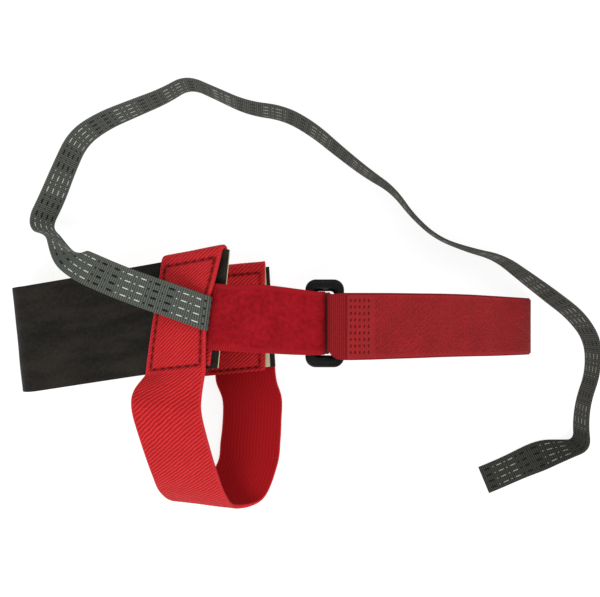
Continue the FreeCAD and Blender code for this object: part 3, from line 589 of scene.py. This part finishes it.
RUBBER_WIDTH, RUBBER_THICK, LAYERS_MEET = 45.0, 2.0, -0.4
BEND_RADIUS, BEND_TURN, BEND_PLAN = 8.4, 172, (-113.9, -17.0)
FAR_ACROSS, BEND_ACROSS = (-0.063, 0.998, 0), (-0.104, 0.9946, 0)
ARM_STRAIGHT = 31.0
ELASTIC_WIDTH, ELASTIC_THICK = 27.0, 1.7
LAYER_OFFSET = RUBBER_THICK / 2 + 0.2 + ELASTIC_THICK / 2
POCKET_RISE, POCKET_SKEW, LOWER_EDGE_RISE = 3.3, 1.12, 0.65
PANEL_END = np.array((-28.8, -3.9, 46.4))
SLOPE, LEAN, YAW = (math.radians(angle) for angle in (23.0, 7.5, 8.0))
LEVEL = np.array((math.cos(LEAN), -math.sin(LEAN), 0))
PANEL_V = np.array((math.sin(LEAN), math.cos(LEAN), 0))
PANEL_U = LEVEL * math.cos(SLOPE) + UP * math.sin(SLOPE)
PANEL_N = np.cross(PANEL_U, PANEL_V)
ARM_PLAN = np.array((math.cos(YAW), math.sin(YAW), 0))
ARM = ARM_PLAN + UP * (math.tan(SLOPE) * (ARM_PLAN @ LEVEL))
SKEW = (ARM @ PANEL_V) / (ARM @ LEVEL / math.cos(SLOPE))
ELASTIC_RIGHT, FAR_LEVEL, FAR_RIGHT_X = -2.9, 2.9, -15.6
FAR_TOPS, FAR_UNDER_LENGTH, FAR_OVER_LENGTH = (11.5, 14.1), 43.1, 46.1
FAR_END, FAR_BOW, FAR_FLAT, NEAR_EXTRA = (-13.0, -8.1), 2.0, 0.32, (-1.1, 0.5)


def on_panel(u, v, n):
    return PANEL_END + PANEL_U * u + PANEL_V * v + PANEL_N * n


def pocket_offset(t):
    return LAYER_OFFSET + LOWER_EDGE_RISE * t + POCKET_RISE * math.sin(math.pi * t**POCKET_SKEW)


def panel_edges(u):
    """v of the panel's upper and lower ends, at u."""
    return SKEW * u + RUBBER_WIDTH / 2 - 0.2, SKEW * u - RUBBER_WIDTH / 2


# ---- rubber


def rubber_rails(far_extra):
    """Both edges of the U: the lower arm from its end, the bend, and the upper arm."""
    across_far, across_bend = unit(FAR_ACROSS), unit(BEND_ACROSS)
    right = np.cross(across_bend, UP)
    bend = np.array((*BEND_PLAN, BEND_RADIUS + RUBBER_THICK / 2))
    far_end, foot = np.array((*FAR_END, FAR_LEVEL)), bend - UP * BEND_RADIUS
    stations = [(far_end, across_far)]
    for share in (0.16, FAR_FLAT, 0.55, 0.8):
        middle = far_end + (foot - far_end) * share
        fall = max(0, share - FAR_FLAT) / (1 - FAR_FLAT)
        middle[2] = FAR_LEVEL + (foot[2] - FAR_LEVEL) * fall
        middle[1] += FAR_BOW * math.sin(math.pi * fall)
        stations.append((middle, across_far * (1 - share) + across_bend * share))
    for turned in np.linspace(0, BEND_TURN, 25):
        angle = math.radians(-90 - turned)
        out = right * math.cos(angle) + UP * math.sin(angle)
        stations.append((bend + out * BEND_RADIUS, across_bend))
    start, ramp = stations[-1][0], PANEL_END - ARM * ARM_STRAIGHT
    rise = math.tan(math.radians(180 - BEND_TURN))
    plan = ramp - start
    plan[2] = 0
    length = np.linalg.norm(plan)
    reach = (ramp[2] - start[2] - ARM[2] * length) / (rise - ARM[2])
    knee = start + plan / length * reach + UP * rise * reach
    for t in np.linspace(0, 1, 17)[1:]:
        middle = start * (1 - t) ** 2 + knee * (2 * t * (1 - t)) + ramp * t**2
        stations.append((middle, across_bend * (1 - t) + PANEL_V * t))
    stations.append((PANEL_END, PANEL_V))
    middles = np.array([middle for middle, _ in stations])
    half = unit([across for _, across in stations]) * RUBBER_WIDTH / 2
    upper, lower = middles + half, middles - half
    upper[0, 0] += far_extra[0]
    lower[0, 0] += far_extra[1]
    upper[-1] += PANEL_U * NEAR_EXTRA[0]
    lower[-1] += PANEL_U * NEAR_EXTRA[1]
    return upper, lower


def rubber_relief(along, across):
    return ripple(along, across, 34.0, 0.05, 3)


def make_rubber():
    black = rubber_material("black_rubber_sheet", srgb(15, 13, 11), srgb(43, 39, 34), 0.62)
    cream = rubber_material("cream_rubber_sheet", srgb(186, 176, 138), srgb(214, 206, 172), 0.6)
    layers = (
        ("rubber_outer", LAYERS_MEET, RUBBER_THICK / 2, (0.5, 0.5), black, "black_rubber"),
        ("rubber_inner", -RUBBER_THICK / 2, LAYERS_MEET, (-1.0, -1.8), cream, "cream_rubber"),
    )
    for name, low, high, extra, material, slot in layers:
        band = Band(*rubber_rails(extra), 1.0, 3)
        mesh = band_mesh(
            name, band, low, high, [material], edge=0.18, columns=(44, 22),
            top=rubber_relief if material is black else None,
        )
        add_piece(name, mesh, "strap", [f"{name}_layer"])


# ---- elastic

EDGE_INSET, EDGE_INSET_MIDDLE, RIBBON_INSET = 0.7, 3.0, 1.3
RIBBON_AT, RIBBON_REACH = 0.5, 0.15  # shares of the panel's length
TWILL_HEIGHT, BEAD_HEIGHT, BEAD_INSET, BEAD_HALF = 0.045, 0.12, 0.5, 0.6
NEAR_STITCH_INSETS, NEAR_STITCH_SHARES = (2.4, 2.0), (0.05, 0.96)
FAR_STITCH_INSET, FAR_STITCH_TOPS, FAR_STITCH_LENGTH = 2.5, (9.3, 11.5), 42.0
LOOP_EDGES = [  # the heel loop's left and right edges, from the upper panel to the lower one
    ((-64.3, -36.0, 41.0), (-37.2, -37.0, 46.4)), ((-64.3, -42.5, 43.6), (-37.2, -43.6, 46.4)),
    ((-61.6, -54.5, 41.6), (-35.5, -53.6, 43.4)), ((-59.0, -69.6, 34.0), (-32.9, -68.6, 35.5)),
    ((-58.0, -80.2, 23.5), (-30.5, -81.6, 25.5)), ((-54.0, -86.6, 13.5), (-27.0, -89.6, 15.0)),
    ((-44.5, -84.0, 5.6), (-16.2, -88.8, 6.6)), ((-37.2, -74.0, 2.6), (-10.1, -74.8, 3.0)),
    ((-36.0, -65.0, 1.4), (-8.8, -64.0, 1.6)), ((-35.1, -56.0, 0.95), (-8.4, -55.4, 1.0)),
    ((-35.1, -46.0, 0.95), (-8.2, -45.4, 0.95)), ((-38.0, -38.0, 0.95), (-10.6, -37.2, 0.95)),
]


def edge_turn(point):
    """The elastic's half turn round the rubber's edge."""
    angles = np.radians(np.linspace(-90, 90, 13))
    return [point(LAYER_OFFSET * math.cos(a), LAYER_OFFSET * math.sin(a)) for a in angles]


def drawn_in(u, t):
    """How far the upper panel's outer layer is drawn in at u, from its top to its foot."""
    left = EDGE_INSET + (EDGE_INSET_MIDDLE - EDGE_INSET) * math.sin(math.pi * t)
    right = -RIBBON_INSET * math.exp(-(((t - RIBBON_AT) / RIBBON_REACH) ** 2))
    share = (ELASTIC_RIGHT - u) / ELASTIC_WIDTH
    return left * share + right * (1 - share)


def near_edge_line(u):
    """One edge of the upper panel, up its inside and down its outside."""
    top, foot = panel_edges(u)
    inner = [on_panel(u, foot + (top - foot) * t, -LAYER_OFFSET) for t in (0.0, 0.33, 0.66)]
    shift = drawn_in(u, 0.0) / 2
    turn = edge_turn(lambda out, up: on_panel(u + shift * (1 + up / LAYER_OFFSET), top + out, up))
    shares = np.linspace(0, 1, 21)[1:]
    outer = [
        on_panel(u + drawn_in(u, t), top + (foot - top) * t, pocket_offset(t)) for t in shares
    ]
    return inner + turn + outer


def far_edge_line(x_top, top):
    """One edge of the lower panel, up its underside and down its upper face."""
    x_low = x_top + FAR_UNDER_LENGTH * (FAR_TOPS[1] - FAR_TOPS[0]) / ELASTIC_WIDTH
    low_y = top - FAR_UNDER_LENGTH
    under = [
        np.array((x_low + (x_top - x_low) * t, low_y + (top - low_y) * t, FAR_LEVEL - LAYER_OFFSET))
        for t in (0.0, 0.33, 0.66)
    ]
    turn = edge_turn(lambda out, up: np.array((x_top, top + out, FAR_LEVEL + up)))
    level = FAR_LEVEL + LAYER_OFFSET
    over = [np.array((x_top, top - FAR_OVER_LENGTH * t, level)) for t in (0.33, 0.66, 1.0)]
    return under + turn + over


def elastic_rails():
    """Right and left edges: up the upper panel's inside, down its outside, the loop, the far end."""
    rails = []
    for side, x in ((1, 0.0), (0, -ELASTIC_WIDTH)):
        near = near_edge_line(ELASTIC_RIGHT + x)
        far = far_edge_line(FAR_RIGHT_X + x, FAR_TOPS[side])
        free = smooth([near[-1], *(pair[side] for pair in LOOP_EDGES), far[0]], 6)
        rails.append(np.vstack([near[:-1], free, far[1:]]))
    return rails


def near_stitch_lines():
    """The sewn box on the upper panel, as short straight pieces on its swelling face."""
    left = ELASTIC_RIGHT - ELASTIC_WIDTH + NEAR_STITCH_INSETS[0]
    right = ELASTIC_RIGHT - NEAR_STITCH_INSETS[1]
    high, low = NEAR_STITCH_SHARES
    corners = np.array(((left, high), (right, high), (right, low), (left, low)))
    lines = []
    for start, end in zip(corners, np.roll(corners, -1, axis=0)):
        spots = []
        for share in np.linspace(0, 1, 7):
            u, t = start + (end - start) * share
            top, foot = panel_edges(u)
            height = pocket_offset(t) + ELASTIC_THICK / 2
            spots.append(on_panel(u + drawn_in(u, t), top + (foot - top) * t, height))
        lines += list(zip(spots, spots[1:]))
    return lines


def far_stitch_lines():
    top = FAR_LEVEL + LAYER_OFFSET + ELASTIC_THICK / 2
    right = FAR_RIGHT_X - FAR_STITCH_INSET
    left = FAR_RIGHT_X - ELASTIC_WIDTH + FAR_STITCH_INSET
    upper = [(x, y, top) for x, y in zip((left, right), FAR_STITCH_TOPS)]
    corners = upper + [(x, y - FAR_STITCH_LENGTH, z) for x, y, z in reversed(upper)]
    return list(zip(corners, corners[1:] + corners[:1]))


def twill_relief(along, across):
    """Slanted ribs between two beaded edges."""
    rib = ribs(TWILL_PITCH, TWILL_HEIGHT)(along - TWILL_SLANT * across, across)
    edges = np.minimum(across, ELASTIC_WIDTH - across)
    inside = np.clip((edges - 0.6) / 0.6, 0, 1)
    bead = BEAD_HEIGHT * np.clip(1 - np.abs(edges - BEAD_INSET) / BEAD_HALF, 0, 1)
    return rib * inside + bead + ripple(along, across, 21.0, 0.05, 5)


def wale_relief(along, across):
    return 0.05 * np.cos(math.tau * across / WALE_RELIEF_PITCH)


def make_elastic():
    outside = twill_material(
        "elastic_twill", ELASTIC_WIDTH, srgb(150, 20, 24), srgb(207, 47, 51), srgb(170, 26, 30)
    )
    inside = wale_material("elastic_wales", srgb(132, 13, 18), srgb(158, 20, 26))
    band = Band(*elastic_rails(), 0.42, 4)
    mesh = band_mesh(
        "heel_elastic_cloth", band, -ELASTIC_THICK / 2, ELASTIC_THICK / 2, [outside, inside],
        edge=0.55, columns=(45, 18), top=twill_relief, under=wale_relief,
        grooves=near_stitch_lines() + far_stitch_lines(),
    )
    add_piece("heel_elastic_cloth", mesh, "strap", ["heel_elastic"])
    make_liner(outside)


def make_liner(material):
    """The pocket's under layer, which shows beside the panel's lower right edge."""
    left, right, low, high, middle = -24.8, -1.9, -22.0, 5.6, 1.35
    rails = [[on_panel(u, v, middle) for v in np.linspace(high, low, 8)] for u in (right, left)]
    band = Band(*rails, 0.42, 0)
    mesh = band_mesh(
        "pocket_liner_cloth", band, -0.25, 0.25, [material], edge=0.2, columns=(40, 10),
        top=lambda s, x: 0.6 * twill_relief(s, x),
    )
    add_piece("pocket_liner_cloth", mesh, "strap", ["resistor_pocket_liner"])


# ---- straps

STRAP_THICK, WEBBING_THICK, HOOK_THICK, HOOK_GROUND = 1.5, 1.0, 1.2, 0.5
LOOP_STRAP_V, LOOP_STRAP_N = (9.2, -15.8), 2.45
LOOP_STRAP_SEWN = (-6.8, -3.4, 0.0)
STRAP_TURN, STRAP_TURN_RADIUS = (6.2, -9.5, RING_MIDDLE[2]), 3.2
LOOP_STRAP_ABOVE = [  # from the pocket to the ring: x, y, z and half the width
    (-23.0, -7.4, 48.9, 12.5), (-17.0, -7.5, 48.3, 12.8), (-10.0, -8.0, 47.0, 12.8),
    (-2.0, -8.8, 45.2, 12.6),
]
LOOP_STRAP_BELOW = [  # and back under itself
    (0.4, -9.4, 37.8, 12.2), (-4.6, -9.1, 41.4, 12.2), (-9.0, -8.6, 44.2, 12.2),
    (-13.0, -8.4, 45.4, 12.2), (-18.0, -8.2, 46.2, 12.2),
]
TURN_HALF_WIDTH, PILE_COLUMNS = 12.2, 60


def make_loop_strap():
    """Velvet tape out of the upper panel's pocket to the ring, round its bar and back."""
    x, y, z = STRAP_TURN
    turn = [
        (x + STRAP_TURN_RADIUS * math.cos(a), y, z + STRAP_TURN_RADIUS * math.sin(a), TURN_HALF_WIDTH)
        for a in np.radians(np.linspace(90, -90, 15))
    ]
    path = np.array(LOOP_STRAP_ABOVE + turn + LOOP_STRAP_BELOW)
    middle, half = path[:, :3], path[:, 3:] * (0, 1, 0)
    upper, lower = (
        np.vstack([[on_panel(u, v, LOOP_STRAP_N) for u in LOOP_STRAP_SEWN], middle + side])
        for v, side in zip(LOOP_STRAP_V, (half, -half))
    )
    band = Band(smooth(upper, 8), smooth(lower, 8), 0.4, 6)
    pile = speckle(len(band.along), PILE_COLUMNS + 1, 1, 11)
    tufts = speckle(len(band.along), PILE_COLUMNS + 1, 6, 12)

    def relief(along, across):
        """Uneven pile between two lower ribbed edges."""
        row = np.searchsorted(band.along, along[:, 0])
        column = (across[0] / band.width * PILE_COLUMNS).round().clip(0, PILE_COLUMNS).astype(int)
        height = 0.05 * pile[row][:, column] + 0.09 * tufts[row][:, column]
        edges = np.minimum(across, band.width - across)
        inside = np.clip((edges - VELVET_EDGE[0]) / 0.5, 0, 1)
        return inside * (0.12 + height) + (1 - inside) * ribs(VELVET_RIB, 0.04)(along, across)

    material = velvet_material(band.width)
    backing = webbing_material("velvet_backing", srgb(104, 12, 18), srgb(140, 24, 31))
    half = STRAP_THICK / 2
    mesh = band_mesh(
        "loop_strap_velvet", band, -half, half - 0.15, [material, backing], edge=0.45,
        columns=(PILE_COLUMNS, 20), top=relief,
    )
    add_piece("loop_strap_velvet", mesh, "strap", ["loop_strap"])


FAR_STRAP_PATH = [
    (-41.0, -11.4, 6.6), (-28.0, -11.2, 6.6), (-15.0, -11.0, 6.6), (-8.0, -10.8, 8.6),
    (-1.0, -10.6, 14.6), (5.0, -10.3, 22.6), (8.8, -10.0, 30.0), (10.6, -9.8, 36.0),
    (11.0, -9.8, 40.0), (11.0, -9.8, 43.8),
]
FLAP_PATH = [
    (11.8, -10.6, 45.8), (15.0, -10.6, 46.0), (20.0, -10.6, 45.7), (27.0, -10.6, 44.2),
    (36.0, -10.6, 41.2), (47.0, -10.7, 36.8), (58.0, -10.8, 31.9), (69.7, -11.1, 26.0),
    (81.0, -11.6, 18.9), (92.0, -12.1, 10.9), (103.4, -12.6, 1.6),
]
HOOK_START = (17.8, -10.6, 45.85)
FOLD_POINT, BLEND_START, BLEND_END = (11.0, -9.8, 44.6), (11.0, -10.5, 39.0), (15.5, -10.5, 46.0)
WEBBING_HALF, FLAP_EXTRA, HOOK_TAPE_HALF = 12.15, 0.6, 12.1  # half widths
PINCH, PINCH_REACH = 3.2, 3.2  # the webbing's lower edge is drawn in where it passes the ring


def make_webbing():
    """One webbing: sewn on the lower panel, up through the ring and out along the flap."""
    middle = smooth(FAR_STRAP_PATH + FLAP_PATH, 8)
    reach = distances(middle)
    fold = reach[np.argmin(np.linalg.norm(middle - FOLD_POINT, axis=1))]
    half = WEBBING_HALF + FLAP_EXTRA * np.clip((reach - fold) / 6, 0, 1)
    drawn = PINCH * np.exp(-(((reach - fold + 1.0) / PINCH_REACH) ** 2))
    upper, lower = middle.copy(), middle.copy()
    upper[:, 1] += half
    lower[:, 1] -= half - drawn
    band = Band(upper, lower, 0.38, 3)
    material = webbing_material("red_webbing_weave", srgb(98, 13, 18), srgb(148, 32, 36))
    mesh = band_mesh(
        "hook_strap_webbing", band, -WEBBING_THICK / 2, WEBBING_THICK / 2, [material], edge=0.4,
        columns=(36, 24), top=ribs(WEBBING_RIB, 0.06), under=ribs(WEBBING_RIB, 0.05),
    )
    webbing = add_piece(
        "hook_strap_webbing", mesh, None, ["far_strap", "hook_flap_base"]
    )
    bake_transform(webbing)


HOOK_PITCH, HOOK_ROWS, HOOK_FREE = 1.3, 20, 11.0
HOOK_EDGE, HOOK_MARGINS, HOOK_BEND, HOOK_JITTER = 1.2, 2.6, 0.24, 0.12
HOOK_SECTION = ((-0.1, 0), (0.05, 0.09), (0.05, -0.09))  # the nylon's three corners


def make_hook_tape():
    path = [HOOK_START] + [point for point in FLAP_PATH if point[0] > HOOK_START[0]]
    middle, half = smooth(path, 8), np.array((0, HOOK_TAPE_HALF, 0))
    band = Band(middle + half, middle - half, 0.38, 3)
    low = WEBBING_THICK / 2 + 0.1
    ground = low + HOOK_GROUND
    material = hook_material()
    stitches = node_islands("hook_tape_stitching")
    dots = [(place - way * 0.1, place + way * 0.1) for place, way, *_ in stitches]
    mesh = band_mesh(
        "hook_tape_ground", band, low, ground, [material], edge=0.2, columns=(44, 12),
        top=ribs(WEBBING_RIB, 0.05), grooves=dots,
    )
    add_piece("hook_tape_ground", mesh, "hook_flap", ["hook_tape"])
    add_hooks(band, ground, low + HOOK_THICK, material)


def add_hooks(band, ground, top, material):
    """Rows of small bent nylon hooks, which lean towards alternate ends."""
    random = np.random.default_rng(21)
    bend = np.radians((0, 55, 110, 165))
    points, faces, cloth = [], [], []
    columns = np.arange(HOOK_FREE, band.along[-1] - HOOK_EDGE, HOOK_PITCH)
    row_pitch = (band.width - HOOK_MARGINS) / (HOOK_ROWS - 0.5)
    for i, along in enumerate(columns):
        for row in range(HOOK_ROWS):
            across = HOOK_EDGE + (row + 0.5 * (i % 2)) * row_pitch
            jitter = random.normal(0, HOOK_JITTER, 2)
            spot, side = along + jitter[0], 1 if row % 2 else -1
            height = (top - ground) * random.uniform(0.8, 1.0)
            line = [(0.0, 0.0)] + [
                (side * HOOK_BEND * (1 - math.cos(a)), height - HOOK_BEND * (1 - math.sin(a)))
                for a in bend
            ]
            faces += tube_faces(len(points), len(line), len(HOOK_SECTION))
            for ahead, up in line:
                for thick, wide in HOOK_SECTION:
                    points.append((spot + ahead + thick, across + jitter[1] + wide, ground + up))
                    cloth.append((spot, across))
    placed = band.points(*np.array(points).T)
    mesh = make_mesh("hook_tape_hooks", placed, faces, np.array(cloth), [material])
    add_piece("hook_tape_hooks", mesh, "hook_flap")


# ---- stitches


def node_islands(node):
    """Each separate solid of a CAD node: centre, long axis, face normal and half sizes, in mm."""
    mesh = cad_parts[node].data
    corners = np.array([v.co for v in mesh.vertices]) / MM - SHIFT
    keys, index = np.unique(corners.round(3), axis=0, return_inverse=True)
    index = index.ravel()
    owner = list(range(len(keys)))

    def root(i):
        while owner[i] != i:
            owner[i] = owner[owner[i]]
            i = owner[i]
        return i

    for polygon in mesh.polygons:
        first, *others = (index[i] for i in polygon.vertices)
        for other in others:
            owner[root(other)] = root(first)
    groups = {}
    for i, key in enumerate(keys):
        groups.setdefault(root(i), []).append(key)
    found = []
    for group in sorted(groups.values(), key=lambda g: tuple(np.mean(g, axis=0).round(3))):
        group = np.array(group)
        centre = group.mean(axis=0)
        axes = np.linalg.svd(group - centre)[2]
        reach = np.abs((group - centre) @ axes.T).max(axis=0)
        normal = axes[2] if axes[2][2] > 0 else -axes[2]
        found.append((centre, axes[0], normal, reach))
    return found


def drawn_stitch(centre):
    """A stitch's centre on the upper panel, moved as its outer layer is drawn in."""
    u, v = (centre - PANEL_END) @ PANEL_U, (centre - PANEL_END) @ PANEL_V
    top, foot = panel_edges(u)
    return centre + PANEL_U * drawn_in(u, (top - v) / (top - foot))


THREAD_RINGS, THREAD_SIDES, THREAD_HEIGHT, THREAD_DIP = 6, 8, 0.22, 0.2
PANEL_THREAD_LIFT, HOOK_THREAD_LIFT = -0.12, -0.7  # against the CAD model's stitches


def add_stitches(name, node, material, lift=0.0, moved=np.array, body="strap"):
    """Rounded threads in the place of a node's plain stitches."""
    points, faces = [], []
    for centre, way, normal, reach in node_islands(node):
        centre, side = moved(centre), np.cross(normal, way)
        faces += tube_faces(len(points), THREAD_RINGS + 1, THREAD_SIDES)
        for angle in np.linspace(0, math.pi, THREAD_RINGS + 1):
            thick = max(0.12, math.sin(angle) ** 0.5)
            dip = THREAD_DIP * (1 - math.sin(angle) ** 0.7)
            for turn in np.linspace(0, math.tau, THREAD_SIDES, endpoint=False):
                out = side * (math.cos(turn) * reach[1] * 0.8 * thick)
                up = normal * (math.sin(turn) * THREAD_HEIGHT * thick - dip + lift)
                points.append(centre - way * (math.cos(angle) * reach[0]) + out + up)
    mesh = make_mesh(name, points, faces, None, [material])
    add_piece(name, mesh, body, [node])


def make_stitches():
    red = thread_material("red_sewing_thread", srgb(104, 12, 19))
    dark = thread_material("dark_sewing_thread", srgb(86, 14, 18))
    add_stitches("near_panel_thread", "near_panel_stitching", red, PANEL_THREAD_LIFT, drawn_stitch)
    add_stitches("far_panel_thread", "far_panel_stitching", red, PANEL_THREAD_LIFT)
    for name in ("loop_strap_seam_stitching", "loop_strap_ring_tack", "far_strap_seam_stitching"):
        add_stitches(name.replace("stitching", "thread") + "s", name, red)
    add_stitches("hook_tape_thread", "hook_tape_stitching", dark, HOOK_THREAD_LIFT,
                 body="hook_flap")


# ---- ring


def rounded_outline(wide, tall, radius):
    """A rounded rectangle's points, anticlockwise from the right side's lower corner."""
    points = []
    for x, y, start in ((1, -1, -90), (1, 1, 0), (-1, 1, 90), (-1, -1, 180)):
        angles = np.radians(np.linspace(start, start + 90, 10))
        centre = np.array((x * (wide / 2 - radius), y * (tall / 2 - radius)))
        points += [centre + radius * np.array((math.cos(a), math.sin(a))) for a in angles]
    return np.array(points)


RING_LENGTH, RING_WIDTH, RING_BAR, RING_END, RING_THICK = 34.0, 15.0, 3.7, 4.6, 3.2
RING_CORNER, OPENING_CORNER = 4.0, 1.6
RING_PROFILE = [  # across the bar from the outside, and how far below its top
    (0.0, 1.0), (0.1, 0.45), (0.32, 0.14), (0.62, 0.02), (0.8, 0.06), (0.95, 0.12), (1.3, 0.08),
    (1.85, 0.0), (2.6, 0.06), (3.1, 0.24), (3.45, 0.55), (3.65, 0.95), (RING_BAR, 1.3),
]


def make_ring():
    """The moulded ring: rounded bars with a fine raised rim round the outer edge."""
    top = [(across, RING_THICK / 2 - drop) for across, drop in RING_PROFILE]
    profile = top + [(across, -height) for across, height in reversed(top)]
    outer = rounded_outline(RING_WIDTH, RING_LENGTH, RING_CORNER)
    opening = (RING_WIDTH - 2 * RING_BAR, RING_LENGTH - 2 * RING_END)
    inner = rounded_outline(*opening, OPENING_CORNER)
    rings = []
    for across, height in profile:
        flat = outer + (inner - outer) * across / RING_BAR
        rings.append(np.column_stack([flat, np.full(len(flat), height)]) + RING_MIDDLE)
    points = np.array(rings)
    grid = np.arange(points.size // 3).reshape(points.shape[:2])
    quads = quads_round(np.vstack([grid, grid[:1]]))
    mesh = make_mesh("moulded_ring", points.reshape(-1, 3), quads, None, [plastic_material()])
    add_piece("moulded_ring", mesh, "ring", ["rectangular_ring"])


# ---- ribbon

RIBBON_FOLD_U, RIBBON_EXIT_V = -3.6 - RIBBON_INSET, -1.9
RIBBON_ANGLE = math.radians(10.2)
HIDDEN_END_U = (-6.6, -5.0)
RIBBON_ROUTE = [  # x, y, z, and how far the ribbon is tilted, in degrees
    (-45.6, -1.6, 49.2, 0), (-56.6, 2.0, 47.6, 0), (-70.2, 6.8, 45.4, 0), (-87.0, 13.9, 41.0, 18),
    (-96.5, 19.5, 27.0, 80), (-105.0, 25.0, 13.5, 98), (-116.5, 32.0, 5.8, 60), (-110.2, 44.5, 6.0, 58),
    (-104.8, 58.0, 6.1, 65), (-98.8, 71.0, 6.2, 68), (-88.0, 78.6, 6.3, 73), (-74.0, 84.4, 6.4, 77),
    (-60.0, 90.0, 6.5, 82), (-49.5, 96.4, 6.5, 86), (-37.0, 90.8, 6.5, 84), (-23.0, 84.4, 6.5, 81),
    (-7.0, 82.4, 6.4, 79), (6.0, 75.0, 6.4, 78), (18.0, 64.8, 6.4, 82), (30.0, 55.4, 6.5, 86),
    (41.5, 48.0, 6.6, 93), (50.0, 36.4, 6.6, 97), (61.0, 26.6, 6.6, 97), (75.5, 21.4, 6.6, 91),
    (88.5, 18.2, 6.5, 86), (100.0, 9.6, 6.5, 79), (112.0, 0.6, 6.4, 74), (123.0, -8.0, 6.4, 75),
    (130.2, -19.0, 6.5, 83), (130.0, -33.0, 6.6, 90), (125.8, -45.0, 6.6, 90), (124.6, -55.5, 6.5, 87),
    (125.4, -65.0, 6.5, 84), (117.0, -67.0, 6.2, 66), (109.5, -69.4, 4.6, 38), (102.5, -73.6, 1.6, 8),
    (95.3, -77.3, 0.7, 0), (89.2, -80.0, 0.7, 0), (83.4, -82.4, 0.7, 0),
]


def spline_points(name, points):
    """Points read from a NURBS spline that has these control points, in metres."""
    curve = bpy.data.curves.new(name, "CURVE")
    curve.dimensions = "3D"
    curve.resolution_u = 24
    spline = curve.splines.new("NURBS")
    spline.points.add(len(points) - 1)
    for control, point in zip(spline.points, points):
        control.co = (*point, 1.0)
    spline.order_u = 3
    spline.use_endpoint_u = True
    holder = add_object(name, curve)
    bpy.context.view_layer.update()
    mesh = bpy.data.meshes.new_from_object(holder)
    found = np.array([v.co for v in mesh.vertices])
    bpy.data.objects.remove(holder)
    bpy.data.meshes.remove(mesh)
    bpy.data.curves.remove(curve)
    return found


def ribbon_heights():
    """Heights over the arm of the ribbon's hidden end and of the ribbon on the pocket."""
    half = RIBBON_THICK / 2
    inside = LOOP_STRAP_N + STRAP_THICK / 2 + 0.1 + half
    return inside, pocket_offset(0.48) + ELASTIC_THICK / 2 + 0.35 + half


def ribbon_relief(along, across):
    """Crosswise ribs, and the yarns that float over them in rows of long and short dashes."""
    row = (across - RIBBON_WIDTH / 2) / YARN_ROWS - 0.5
    used_row = np.abs(row.round() + 0.5) < USED_ROWS
    on_row = (np.abs(row - row.round()) * YARN_ROWS < 0.4) & used_row
    cell = np.mod(along, YARN_CELL)
    dash = np.zeros_like(along, bool)
    for start, end in (YARN_LONG, YARN_SHORT):
        dash |= (cell > start) & (cell < end)
    return np.where(on_row & dash, 0.1, ribs(RIBBON_RIB, 0.07)(along, across))


def ribbon_piece(name, band, material, node, along_from=0.0):
    """The ribbon's free part or its hidden end."""
    band.width = RIBBON_WIDTH
    half = RIBBON_THICK / 2
    mesh = band_mesh(
        name, band, -half, half, [material], edge=0.3, columns=(18, 12),
        top=ribbon_relief, under=ribbon_relief, along_from=along_from,
    )
    return add_piece(name, mesh, "strap", [node])


def make_ribbon():
    material = ribbon_material()
    start = on_panel(RIBBON_FOLD_U, RIBBON_EXIT_V, ribbon_heights()[1])
    controls = [start] + [np.array(p[:3]) for p in RIBBON_ROUTE]
    turns = [0.0] + [p[3] for p in RIBBON_ROUTE]
    path = spline_points("ribbon_line", to_metres(controls))
    tilt_line = spline_points("ribbon_tilt", [(k * MM, a * MM, 0) for k, a in enumerate(turns)])
    middle = path / MM - SHIFT
    tilt = np.radians(tilt_line[:, 1] / MM)
    way = unit(np.gradient(middle, axis=0))
    level = unit(np.cross(UP, way))
    raised = np.cross(way, level)
    outer = level * np.cos(tilt)[:, None] + raised * np.sin(tilt)[:, None]
    outer *= RIBBON_WIDTH / 2
    first = -PANEL_V * RIBBON_WIDTH / 2 / math.cos(RIBBON_ANGLE)
    settled = np.clip(distances(middle) / 6.0, 0, 1)[:, None]
    outer = first * (1 - settled) + outer * settled
    band = Band(middle + outer, middle - outer, 0.3, 2)
    ribbon = ribbon_piece("grey_ribbon", band, material, "grounding_ribbon")
    make_ribbon_end(material)


def make_ribbon_end(material):
    """The ribbon's hidden end, folded round the pocket's right edge."""
    low, high = ribbon_heights()
    radius, middle = (high - low) / 2, (high + low) / 2
    turn = np.radians(np.linspace(-90, 90, 17))
    profile = [(u, low) for u in HIDDEN_END_U]
    profile += [
        (RIBBON_FOLD_U + radius * math.cos(a), middle + radius * math.sin(a)) for a in turn
    ]
    reach = distances(np.array(profile))
    half = RIBBON_WIDTH / 2 / math.cos(RIBBON_ANGLE)
    rails = [], []
    for (u, n), gone in zip(profile, reach - reach[-1]):
        v = RIBBON_EXIT_V + gone * math.tan(RIBBON_ANGLE)
        rails[0].append(on_panel(u, v - half, n))
        rails[1].append(on_panel(u, v + half, n))
    band = Band(*rails, 0.3, 1)
    along_from = YARN_REPEAT - band.along[-1]
    ribbon_piece("grey_ribbon_end", band, material, "ribbon_pocket_end", along_from)


# ---- resistor


def make_resistor():
    """The hidden resistor keeps its CAD shapes, with proper finishes."""
    tin = hard_material("tinned_wire", srgb(190, 190, 186), srgb(150, 150, 148), 0.3, 1.0)
    enamel = hard_material("resistor_enamel", srgb(196, 170, 120), srgb(176, 150, 104), 0.4)
    sleeve = hard_material("shrink_sleeve", srgb(44, 44, 48), srgb(60, 60, 64), 0.45)
    finishes = {"resistor_body": enamel, "resistor_sleeve": sleeve}
    tinned = "resistor_rubber_lead", "resistor_ribbon_lead", "ribbon_crimp", "rubber_contact_stud"
    finishes.update(dict.fromkeys(tinned, tin))
    for node, material in finishes.items():
        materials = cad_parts[node].data.materials
        materials.clear()
        materials.append(material)


# ---- the scene

make_stage()
make_ribbon()
make_rubber()
make_elastic()
make_loop_strap()
make_webbing()
make_hook_tape()
make_stitches()
make_ring()
make_resistor()
